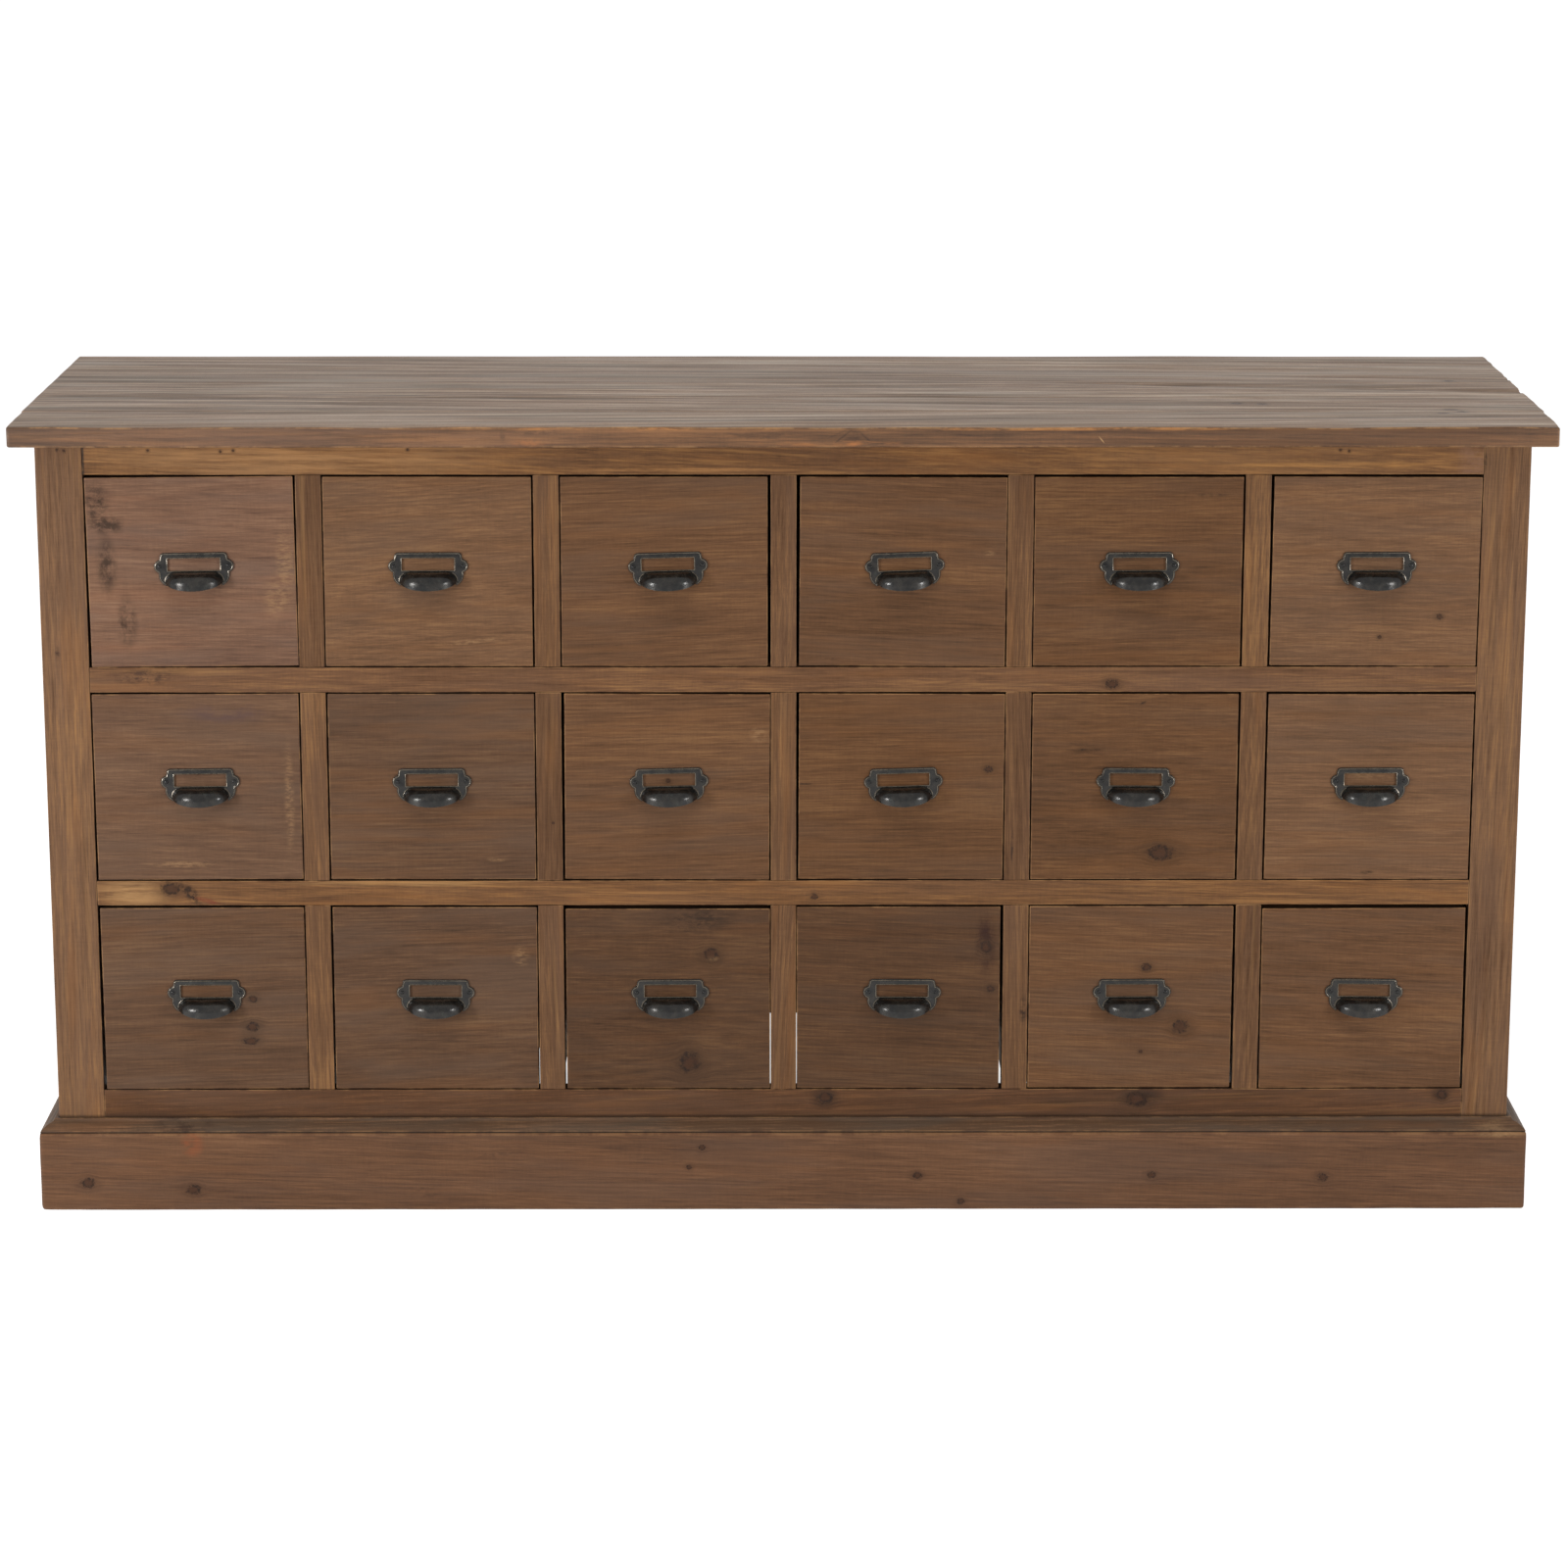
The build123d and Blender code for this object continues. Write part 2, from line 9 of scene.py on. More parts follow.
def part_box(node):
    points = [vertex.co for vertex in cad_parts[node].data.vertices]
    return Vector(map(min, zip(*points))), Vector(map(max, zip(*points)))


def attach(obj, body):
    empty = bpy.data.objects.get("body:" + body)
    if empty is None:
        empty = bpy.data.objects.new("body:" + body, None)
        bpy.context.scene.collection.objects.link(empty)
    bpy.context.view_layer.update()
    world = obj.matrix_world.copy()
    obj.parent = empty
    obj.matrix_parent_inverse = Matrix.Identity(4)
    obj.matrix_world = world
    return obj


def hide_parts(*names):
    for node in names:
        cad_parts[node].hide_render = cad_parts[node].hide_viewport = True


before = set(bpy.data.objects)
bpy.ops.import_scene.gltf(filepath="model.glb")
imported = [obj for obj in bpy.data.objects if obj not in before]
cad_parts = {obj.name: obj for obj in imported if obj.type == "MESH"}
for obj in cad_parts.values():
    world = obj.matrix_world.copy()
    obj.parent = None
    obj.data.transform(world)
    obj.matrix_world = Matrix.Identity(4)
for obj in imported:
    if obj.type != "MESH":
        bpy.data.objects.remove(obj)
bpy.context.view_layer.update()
scene = bpy.context.scene
print("frame loaded")


# Node helpers: a value is either a plain number or a socket to link

def tone(code):  # a colour as it is written on a paint card
    channels = [int(code[i:i + 2], 16) / 255 for i in (0, 2, 4)]
    return [c / 12.92 if c <= 0.04045 else ((c + 0.055) / 1.055) ** 2.4 for c in channels] + [1]


def feed(tree, socket, value):
    if isinstance(value, bpy.types.NodeSocket):
        tree.links.new(value, socket)
    else:
        socket.default_value = value


def calc(tree, operation, first, second=0.0, clamp=False):
    node = tree.nodes.new("ShaderNodeMath")
    node.operation = operation
    node.use_clamp = clamp
    feed(tree, node.inputs[0], first)
    feed(tree, node.inputs[1], second)
    return node.outputs[0]


def vectorCalc(tree, operation, first, second=(0, 0, 0), scale=None):
    node = tree.nodes.new("ShaderNodeVectorMath")
    node.operation = operation
    feed(tree, node.inputs[0], first)
    if scale is not None:
        feed(tree, node.inputs["Scale"], scale)
    else:
        feed(tree, node.inputs[1], second)
    return node.outputs["Value"] if operation == "LENGTH" else node.outputs["Vector"]


def speckle(tree, vector, stretch, detail=3.0, rough=0.5, shift=(0, 0, 0)):
    moved = vectorCalc(tree, "MULTIPLY_ADD", vector, stretch)
    moved.node.inputs[2].default_value = shift
    node = tree.nodes.new("ShaderNodeTexNoise")
    tree.links.new(moved, node.inputs["Vector"])
    node.inputs["Scale"].default_value = 1
    node.inputs["Detail"].default_value = detail
    node.inputs["Roughness"].default_value = rough
    return node.outputs[0]


def fade(tree, value, low, high, start=0.0, end=1.0):  # smooth step from low to high
    node = tree.nodes.new("ShaderNodeMapRange")
    node.interpolation_type = "SMOOTHSTEP"
    feed(tree, node.inputs["Value"], value)
    for name, number in zip(("From Min", "From Max", "To Min", "To Max"), (low, high, start, end)):
        node.inputs[name].default_value = number
    return node.outputs[0]


def mixTone(tree, factor, first, second):
    node = tree.nodes.new("ShaderNodeMix")
    node.data_type = "RGBA"
    feed(tree, node.inputs[0], factor)
    feed(tree, node.inputs[6], first)  # sockets 6 and 7 are the two colours, output 2 the mixed one
    feed(tree, node.inputs[7], second)
    return node.outputs[2]


def addBump(tree, shader, height, strength, distance):
    bump = tree.nodes.new("ShaderNodeBump")
    bump.inputs["Strength"].default_value = strength
    bump.inputs["Distance"].default_value = distance
    tree.links.new(height, bump.inputs["Height"])
    tree.links.new(bump.outputs[0], shader.inputs["Normal"])


def attribute(tree, name, output):
    node = tree.nodes.new("ShaderNodeAttribute")
    node.attribute_name = name
    return node.outputs[output]


def newMaterial(name):
    material = bpy.data.materials.new(name)
    material.use_nodes = True
    tree = material.node_tree
    tree.nodes.clear()
    shader = tree.nodes.new("ShaderNodeBsdfPrincipled")
    output = tree.nodes.new("ShaderNodeOutputMaterial")
    tree.links.new(shader.outputs[0], output.inputs[0])
    return material, tree, shader


# Wood: growth rings round a log axis, with the fibre, stain and wear of old boards

woodBase = {
    "dark": "452E1B", "mid": "62432B", "pale": "7F5C3B", "cast": "5B4637", "warm": "744C2A", "worn": "A07850",
    "glint": "A37A4C", "rings": 0.1, "fibre": 0.95, "streaks": 0.2, "clouds": 0.4, "weave": 0.2, "casting": 0.35,
    "warming": 0.25, "glints": 0.0, "wear": 0.75, "ringWidth": 0.0042, "relief": 0.00035, "roughness": (0.5, 0.7),
    "gloss": 0.2, "cloudStretch": (3, 15, 15), "streakStretch": (4, 260, 260),
    "recessShade": None, "footShade": None, "edgeTones": None,
}
# how each pattern of the wood is drawn: stretch, detail, roughness and shift
woodPatterns = {
    "wobble": ((1.4, 9, 9), 2), "fibre": ((20, 520, 520), 4, 0.75), "weave": ((430, 60, 60), 2, 0.6, (2, 0, 4)),
    "fleck": ((34, 900, 900), 1, 0.5, (0, 7, 0)), "veil": ((5, 30, 30), 3, 0.55, (0, 0, 9)),
    "glow": ((5, 50, 50), 3, 0.6, (5, 0, 2)), "thin": ((2.6, 150, 150), 3, 0.6, (7, 3, 0)),
    "rubbedAndHighlight": ((38, 38, 38), 4, 0.65),
}
patternWeights = {"streaks": 2.4, "fibre": 1.6, "clouds": 2.4, "weave": 1.0}
ringWobble = 0.014
fleckShade = 0.2
bumpHeights = {"fibre": 0.6, "ring": 0.35, "fleck": 0.5, "knot": 0.9}
woodBump = 0.6
knotTones = {"rim": "20130C", "heart": "3E2617"}
knotShares = {"halo": 0.5, "heart": 0.85, "rim": 0.95}
# the colour of the painted shade in gaps, creases and at the foot of the frame
paintedShadeTone = "1A110B"
# carried-over pieces: the turn of each grain, and where the piece lies in its log
grainTurns = {"x": (0, 0, 0), "y": (0, 0, math.pi / 2), "z": (0, math.pi / 2, 0)}
offHeart = (0.31, 0.083, 0.057)


def knotNodes(tree, place, knot):
    # a branch that runs straight into the face, with the grain flowing round it
    # its lengths are given as shares of its radius
    flat = (1, 0, 1) if len(knot["at"]) == 2 else (1, 1, 0)
    centre = (knot["at"][0], 0, knot["at"][1]) if len(knot["at"]) == 2 else knot["at"]
    radius = knot["size"]
    away = vectorCalc(tree, "SUBTRACT", vectorCalc(tree, "MULTIPLY", place, flat), centre)
    squeezed = vectorCalc(tree, "MULTIPLY", away, (1 / knot.get("long", 1.2), 1, 1))
    ragged = calc(tree, "SUBTRACT", speckle(tree, place, (1.1 / radius,) * 3, 4, 0.7), 0.5)
    distance = calc(tree, "ADD", vectorCalc(tree, "LENGTH", squeezed), calc(tree, "MULTIPLY", ragged, radius * 1.6))
    halo = fade(tree, distance, radius * 0.6, radius * 3.2, 1, 0)
    inward = calc(tree, "MULTIPLY", halo, -radius * 1.1)
    push = vectorCalc(tree, "SCALE", vectorCalc(tree, "NORMALIZE", away), scale=inward)
    heart = fade(tree, distance, radius * 0.5, radius * 1.1, 1, 0)
    ringIn = fade(tree, distance, radius * 0.35, radius * 0.85)
    ringOut = fade(tree, distance, radius * 0.85, radius * 1.4, 1, 0)
    broken = fade(tree, speckle(tree, place, (2.2 / radius,) * 3, 2, 0.6, (1, 2, 3)), 0.36, 0.62, 0.25, 1)
    return push, heart, calc(tree, "MULTIPLY", calc(tree, "MULTIPLY", ringIn, ringOut), broken), halo


def makeWood(name, look, knots=(), stains=(), source="grainPoint"):
    values = {**woodBase, **look}
    material, tree, shader = newMaterial(name)
    place = tree.nodes.new("ShaderNodeTexCoord").outputs["Object"]
    axes = tree.nodes.new("ShaderNodeSeparateXYZ")
    tree.links.new(place, axes.inputs[0])
    if source == "grainPoint":
        point = attribute(tree, "grainPoint", "Vector")
        edge = attribute(tree, "edgeWearAndHighlight", "Fac")
        boardTone = attribute(tree, "boardTone", "Fac")
    else:  # a carried-over piece: the grain runs along the named axis
        turn = tree.nodes.new("ShaderNodeVectorRotate")
        turn.rotation_type = "EULER_XYZ"
        turn.inputs["Rotation"].default_value = grainTurns[source]
        tree.links.new(vectorCalc(tree, "ADD", place, offHeart), turn.inputs["Vector"])
        point = turn.outputs[0]
        edge, boardTone = 0.0, 0.0
    knotParts = [knotNodes(tree, place, knot) for knot in knots]
    for push, heart, rim, halo in knotParts:
        point = vectorCalc(tree, "ADD", point, push)

    # growth rings: distance from the log axis, with a slow wobble along the board
    sway = calc(tree, "SUBTRACT", speckle(tree, point, *woodPatterns["wobble"]), 0.5)
    wobble = calc(tree, "MULTIPLY", sway, ringWobble)
    radial = vectorCalc(tree, "LENGTH", vectorCalc(tree, "MULTIPLY", point, (0, 1, 1)))
    phase = calc(tree, "DIVIDE", calc(tree, "ADD", radial, wobble), values["ringWidth"])
    saw = calc(tree, "FRACT", phase)
    ring = calc(tree, "MULTIPLY", fade(tree, saw, 0.25, 0.86), fade(tree, saw, 0.86, 0.99, 1, 0))
    fibre = speckle(tree, point, *woodPatterns["fibre"])
    streak = speckle(tree, point, values["streakStretch"], 5, 0.65, (3.1, 0, 0))
    cloud = speckle(tree, point, values["cloudStretch"], 5, 0.6, (0, 5, 1))
    weave = speckle(tree, point, *woodPatterns["weave"])
    fleck = fade(tree, speckle(tree, point, *woodPatterns["fleck"]), 0.68, 0.78)

    shade = calc(tree, "ADD", 0.5, boardTone)
    for pattern, key in ((streak, "streaks"), (fibre, "fibre"), (cloud, "clouds"), (weave, "weave")):
        weight = values[key] * patternWeights[key]
        shade = calc(tree, "ADD", shade, calc(tree, "MULTIPLY", calc(tree, "SUBTRACT", pattern, 0.5), weight))
    shade = calc(tree, "SUBTRACT", shade, calc(tree, "MULTIPLY", ring, values["rings"]))
    shade = calc(tree, "SUBTRACT", shade, calc(tree, "MULTIPLY", fleck, fleckShade), clamp=True)

    def ramp(dark, mid, pale):
        node = tree.nodes.new("ShaderNodeValToRGB")
        node.color_ramp.elements[0].color = tone(dark)
        node.color_ramp.elements[1].color = tone(pale)
        node.color_ramp.elements.new(0.5).color = tone(mid)
        tree.links.new(shade, node.inputs[0])
        return node.outputs[0]

    # old stain: greyish and warm clouds, drawn out along the grain
    colour = ramp(values["dark"], values["mid"], values["pale"])
    veil = fade(tree, speckle(tree, point, *woodPatterns["veil"]), 0.42, 0.68)
    colour = mixTone(tree, calc(tree, "MULTIPLY", veil, values["casting"]), colour, tone(values["cast"]))
    if values["edgeTones"]:  # the front and ends of the top stay browner than its face, whose paler grey is partly weathering and partly painted sheen
        below = calc(tree, "SUBTRACT", chest["height"], axes.outputs["Z"])
        inFront = calc(tree, "ADD", axes.outputs["Y"], chest["depth"] / 2)
        fromEnd = calc(tree, "SUBTRACT", chest["length"] / 2, calc(tree, "ABSOLUTE", axes.outputs["X"]))
        inside = calc(tree, "MINIMUM", inFront, fromEnd)
        onEdge = fade(tree, calc(tree, "SUBTRACT", inside, below), -0.0012, 0.0006, 1, 0)
        colour = mixTone(tree, onEdge, colour, ramp(*values["edgeTones"]))
    glow = fade(tree, speckle(tree, point, *woodPatterns["glow"]), 0.5, 0.72)
    colour = mixTone(tree, calc(tree, "MULTIPLY", glow, values["warming"]), colour, tone(values["warm"]))
    if values["glints"]:  # pale streaks where the stain has gone thin
        thin = fade(tree, speckle(tree, point, *woodPatterns["thin"]), 0.55, 0.7)
        colour = mixTone(tree, calc(tree, "MULTIPLY", thin, values["glints"]), colour, tone(values["glint"]))

    for stain in stains:
        centre = (stain["at"][0], 0, stain["at"][1])
        away = vectorCalc(tree, "SUBTRACT", vectorCalc(tree, "MULTIPLY", place, (1, 0, 1)), centre)
        if "lean" in stain:
            turn = tree.nodes.new("ShaderNodeVectorRotate")
            turn.rotation_type = "Y_AXIS"
            turn.inputs["Angle"].default_value = math.radians(stain["lean"])
            tree.links.new(away, turn.inputs["Vector"])
            away = turn.outputs[0]
        away = vectorCalc(tree, "MULTIPLY", away, (1 / stain["wide"], 0, 1 / stain["high"]))
        spread = vectorCalc(tree, "LENGTH", away)
        grit = speckle(tree, place, stain.get("grit", (60, 60, 130)), 5, 0.7)
        broken = fade(tree, grit, stain.get("from", 0.44), 0.62)
        patch = calc(tree, "MULTIPLY", fade(tree, spread, 0.25, 1, 1, 0), broken)
        if values["edgeTones"]:
            patch = calc(tree, "MULTIPLY", patch, onEdge)
        colour = mixTone(tree, calc(tree, "MULTIPLY", patch, stain["strength"]), colour, tone(stain["tone"]))
    for push, heart, rim, halo in knotParts:
        colour = mixTone(tree, calc(tree, "MULTIPLY", halo, knotShares["halo"]), colour, tone(values["dark"]))
        colour = mixTone(tree, calc(tree, "MULTIPLY", heart, knotShares["heart"]), colour, tone(knotTones["heart"]))
        colour = mixTone(tree, calc(tree, "MULTIPLY", rim, knotShares["rim"]), colour, tone(knotTones["rim"]))

    # arrises rubbed through the stain, in broken lengths, and painted shade in the gaps and where two pieces meet
    rubbedAndHighlight = fade(tree, speckle(tree, place, *woodPatterns["rubbedAndHighlight"]), 0.42, 0.62)
    worn = calc(tree, "MULTIPLY", calc(tree, "MULTIPLY", fade(tree, edge, 0.45, 0.95), rubbedAndHighlight), values["wear"])
    colour = mixTone(tree, worn, colour, tone(values["worn"]))
    if values["recessShade"]:  # painted shade in the gaps and creases: how far out from the carcass it stops, and how far in it is deepest
        acrossMiddle = calc(tree, "ABSOLUTE", axes.outputs["X"])
        wideOut = calc(tree, "SUBTRACT", acrossMiddle, chest["length"] / 2 - chest["overhang"])
        frontOut = calc(tree, "SUBTRACT", chest["overhang"] - chest["depth"] / 2, axes.outputs["Y"])
        outward = calc(tree, "MAXIMUM", wideOut, frontOut)
        shadeEnds, shadeDeepest, strength = values["recessShade"]
        nearFace = fade(tree, outward, -0.012, -0.005, 0.15, 1)
        paintedShade = calc(tree, "MULTIPLY", fade(tree, outward, shadeDeepest, shadeEnds, strength, 0), nearFace)
        colour = mixTone(tree, paintedShade, colour, tone(paintedShadeTone))
    if values["footShade"]:  # painted shade at the foot: the height above which it stops, and where it is deepest
        shadeEnds, shadeDeepest, strength = values["footShade"]
        colour = mixTone(tree, fade(tree, axes.outputs["Z"], shadeDeepest, shadeEnds, strength, 0), colour, tone(paintedShadeTone))
    tree.links.new(colour, shader.inputs["Base Color"])

    rough = fade(tree, streak, 0.3, 0.7, values["roughness"][1], values["roughness"][0])
    tree.links.new(rough, shader.inputs["Roughness"])
    shader.inputs["Specular IOR Level"].default_value = values["gloss"]
    raised = calc(tree, "MULTIPLY", fibre, bumpHeights["fibre"])
    height = calc(tree, "ADD", raised, calc(tree, "MULTIPLY", ring, bumpHeights["ring"]))
    height = calc(tree, "SUBTRACT", height, calc(tree, "MULTIPLY", fleck, bumpHeights["fleck"]))
    for push, heart, rim, halo in knotParts:
        height = calc(tree, "SUBTRACT", height, calc(tree, "MULTIPLY", rim, bumpHeights["knot"]))
    addBump(tree, shader, height, woodBump, values["relief"])
    return material


# Boards: boxes with a fine mesh along their edges, softened unevenly as by years of use

# edge radius as shares of the wear, with the pitch of its noise, and its limit as a share of the board's thickness
softening = {"least": 0.35, "more": 1.1, "pitch": 0.035, "limit": 0.42, "rubbedReach": 2.2}
boardSharp = math.radians(50)


def linesAcross(low, high, near, step):
    near = min(near, 0.45 * (high - low))
    edge = np.array([0, 0.12, 0.3, 0.6]) * near
    middle = np.linspace(low + near, high - near, max(2, round((high - low - 2 * near) / step) + 1))
    return np.concatenate([low + edge, middle, (high - edge)[::-1]])


def boxGrid(lines):
    counts = [len(line) for line in lines]
    corners = []
    for axis in range(3):
        u, v = (axis + 1) % 3, (axis + 2) % 3
        for end in (0, counts[axis] - 1):
            a, b = np.meshgrid(np.arange(counts[u] - 1), np.arange(counts[v] - 1), indexing="ij")
            quad = np.zeros((a.size, 4, 3), int)
            quad[:, :, axis] = end
            turn = ((0, 0), (1, 0), (1, 1), (0, 1)) if end else ((0, 0), (0, 1), (1, 1), (1, 0))
            for corner, (du, dv) in enumerate(turn):
                quad[:, corner, u] = a.ravel() + du
                quad[:, corner, v] = b.ravel() + dv
            corners.append(quad)
    quads = np.concatenate(corners)
    keys = (quads[..., 0] * counts[1] + quads[..., 1]) * counts[2] + quads[..., 2]
    unique, index = np.unique(keys.ravel(), return_inverse=True)
    i, rest = np.divmod(unique, counts[1] * counts[2])
    j, k = np.divmod(rest, counts[2])
    return np.stack([lines[0][i], lines[1][j], lines[2][k]], axis=1), index.reshape(-1, 4)


def wander(points, pitch, seed):  # slow noise from 0 to 1 at each point
    shift = Vector((seed * 7.3, seed * 3.1, seed * 5.7))
    return np.array([0.5 + 0.5 * noise.noise(Vector(p) / pitch + shift) for p in points])


def softenEdges(points, low, high, radius):  # pulls in what lies outside the rounded box
    radius = radius[:, None]
    core = np.clip(points, low + radius, high - radius)
    away = points - core
    reach = np.linalg.norm(away, axis=1, keepdims=True)
    return core + away * np.where(reach > radius, radius / np.maximum(reach, 1e-9), 1)


def grainPoints(points, grain, seed, centre):
    # the place of each point in its own log: the grain along x, the heart of the log on the axis
    order = {"x": [0, 1, 2], "y": [1, 0, 2], "z": [2, 1, 0]}[grain]
    local = (points - centre)[:, order]
    draw = np.random.default_rng(seed)
    heart = np.array([draw.uniform(-9, 9), draw.uniform(0.03, 0.11), draw.uniform(-0.07, 0.07)])
    slope = draw.uniform(-0.05, 0.05, 2)
    local[:, 1] += slope[0] * local[:, 0]
    local[:, 2] += slope[1] * local[:, 0]
    return local + heart


def board(
    low, high, grain, seed, wear, near, step, lift=None, slot=0, toneShift=0.0, cuts=((), (), ()),
):
    low, high = np.array(low, float), np.array(high, float)
    steps = (step,) * 3 if np.isscalar(step) else step
    square, faces = boxGrid([np.union1d(linesAcross(low[i], high[i], near, steps[i]), cuts[i]) for i in range(3)])
    gaps = np.sort(np.minimum(square - low, high - square), axis=1)
    edge = np.clip(1 - gaps[:, 1] / (softening["rubbedReach"] * wear), 0, 1)
    radius = wear * (softening["least"] + softening["more"] * wander(square, softening["pitch"], seed))
    radius = np.minimum(radius, softening["limit"] * (high - low).min())
    points = softenEdges(square, low, high, radius)
    if lift is not None:
        points = lift(points)
    return {
        "points": points, "faces": faces, "edge": edge, "slot": slot, "tone": toneShift,
        "grain": grainPoints(square, grain, seed, (low + high) / 2),
    }


def makePiece(name, boards, materials, body, replaced):
    points, faces, slots = [], [], []
    edge, grain, tones = [], [], []
    start = 0
    for part in boards:
        points.append(part["points"])
        faces += (part["faces"] + start).tolist()
        slots += [part["slot"]] * len(part["faces"])
        edge.append(part["edge"])
        grain.append(part["grain"])
        tones.append(np.full(len(part["points"]), part["tone"]))
        start += len(part["points"])
    mesh = bpy.data.meshes.new(name)
    mesh.from_pydata(np.concatenate(points).tolist(), [], faces)
    for label, kind, key, values in (
        ("edgeWearAndHighlight", "FLOAT", "value", np.concatenate(edge)),
        ("boardTone", "FLOAT", "value", np.concatenate(tones)),
        ("grainPoint", "FLOAT_VECTOR", "vector", np.concatenate(grain)),
    ):
        layer = mesh.attributes.new(label, kind, "POINT")
        layer.data.foreach_set(key, values.astype(np.float32).ravel())
    mesh.polygons.foreach_set("material_index", slots)
    mesh.polygons.foreach_set("use_smooth", [True] * len(faces))
    mesh.set_sharp_from_angle(angle=boardSharp)
    piece = bpy.data.objects.new(name, mesh)
    scene.collection.objects.link(piece)
    for material in materials:
        mesh.materials.append(material)
    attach(piece, body)
    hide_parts(replaced)
    return piece


# Sizes that the pieces share, in metres
chest = {
    "length": 1.6, "depth": 0.5, "height": 0.85, "overhang": 0.025, "topThick": 0.0225,
    "columns": 6, "frameThick": 0.022, "muntin": 0.027, "stile": 0.049, "sideThick": 0.018,
    "openingWidth": 0.2195, "openingHeight": 0.204, "floors": (0.591, 0.36, 0.129),
}
# the first noise seed of each kind of piece
seeds = {
    "planks": 40, "rails": 60, "stiles": 70, "muntins": 80, "sides": 100, "plinth": 130, "moulding": 140,
    "drawers": 200,
}
xSide = chest["length"] / 2 - chest["overhang"]
yFront = -chest["depth"] / 2 + chest["overhang"]
yFrameBack = yFront + chest["frameThick"]
yBack = chest["depth"] / 2
zUnderTop = chest["height"] - chest["topThick"]
columnPitch = chest["openingWidth"] + chest["muntin"]
xColumns = [(i - (chest["columns"] - 1) / 2) * columnPitch for i in range(chest["columns"])]
xMuntins = [x + columnPitch / 2 for x in xColumns[:-1]]


# Top: five planks, brushed into shallow hollows, with a wavering front arris
top = {
    "planks": 5, "tones": (0.02, -0.03, 0.04, -0.02, 0.03), "arris": 0.0024, "seam": 0.0006, "near": 0.006,
    "step": (0.016, 0.004, 0.01), "hollow": 0.0016, "skin": 0.006, "arrisDrop": 0.0026, "arrisWide": 0.025,
    "shortLeft": 0.001, "shortRight": 0.0012, "endsFrom": 0.77, "endsRun": 0.03, "notch": 0.001, "bleach": 0.1,
    # grooves and ridges along the grain: a point that they pass, slope, length, width, depth, and how dark or pale; a
    # pale ridge is a painted highlight in place of a raised one
    "grooves": (
        {"at": (0.68, 0.004), "slope": -0.12, "long": 0.36, "wide": 0.009, "deep": 0.0022, "shade": -0.3},
        {"at": (0.755, -0.033), "slope": -0.45, "long": 0.07, "wide": 0.007, "deep": 0, "shade": 0.35},
        {"at": (0.66, -0.028), "slope": -0.03, "long": 0.2, "wide": 0.006, "deep": 0, "shade": 0.2},
        {"at": (0.7, 0.084), "slope": -0.09, "long": 0.2, "wide": 0.006, "deep": 0.0014, "shade": -0.25},
        {"at": (0.6, -0.19), "slope": 0.05, "long": 0.22, "wide": 0.006, "deep": 0.001, "shade": -0.25},
        {"at": (0.42, -0.06), "slope": -0.03, "long": 0.26, "wide": 0.007, "deep": 0.001, "shade": -0.2},
        {"at": (0.16, 0.02), "slope": 0.0, "long": 0.2, "wide": 0.007, "deep": 0.0008, "shade": -0.25},
        {"at": (0.03, 0.105), "slope": -0.06, "long": 0.14, "wide": 0.005, "deep": 0.0005, "shade": -0.25},
        {"at": (-0.08, -0.06), "slope": 0.01, "long": 0.24, "wide": 0.006, "deep": 0.0007, "shade": -0.18},
        {"at": (-0.45, -0.06), "slope": 0.02, "long": 0.3, "wide": 0.006, "deep": 0.0008, "shade": -0.2},
        {"at": (-0.5, 0.1), "slope": 0.0, "long": 0.25, "wide": 0.007, "deep": 0.0005, "shade": -0.18},
        {"at": (-0.2, 0.16), "slope": 0.02, "long": 0.3, "wide": 0.007, "deep": 0.0004, "shade": -0.15},
    ),
}
# the face's pale grey tones are partly weathering and partly painted sheen; edgeTones keeps its front and ends browner
topLook = {
    "dark": "45321F", "mid": "765C45", "pale": "A9927A", "cast": "7C7163", "warm": "85613F", "worn": "AF8558",
    "streaks": 0.8, "rings": 0.16, "fibre": 0.6, "clouds": 0.5, "casting": 0.4, "warming": 0.12, "wear": 0.5,
    "cloudStretch": (0.9, 36, 36), "streakStretch": (1.7, 100, 100), "relief": 0.0006, "roughness": (0.42, 0.6),
    "gloss": 0.4, "edgeTones": ("382517", "5D4029", "7F5838"),
}
topKnots = [
    {"at": (0.482, -0.097, 0), "size": 0.0045}, {"at": (0.508, -0.1, 0), "size": 0.004},
    {"at": (0.703, -0.138, 0), "size": 0.0035, "long": 2}, {"at": (0.713, -0.153, 0), "size": 0.004, "long": 1.6},
    {"at": (0.692, -0.163, 0), "size": 0.003, "long": 2}, {"at": (0.731, 0.062, 0), "size": 0.004},
]
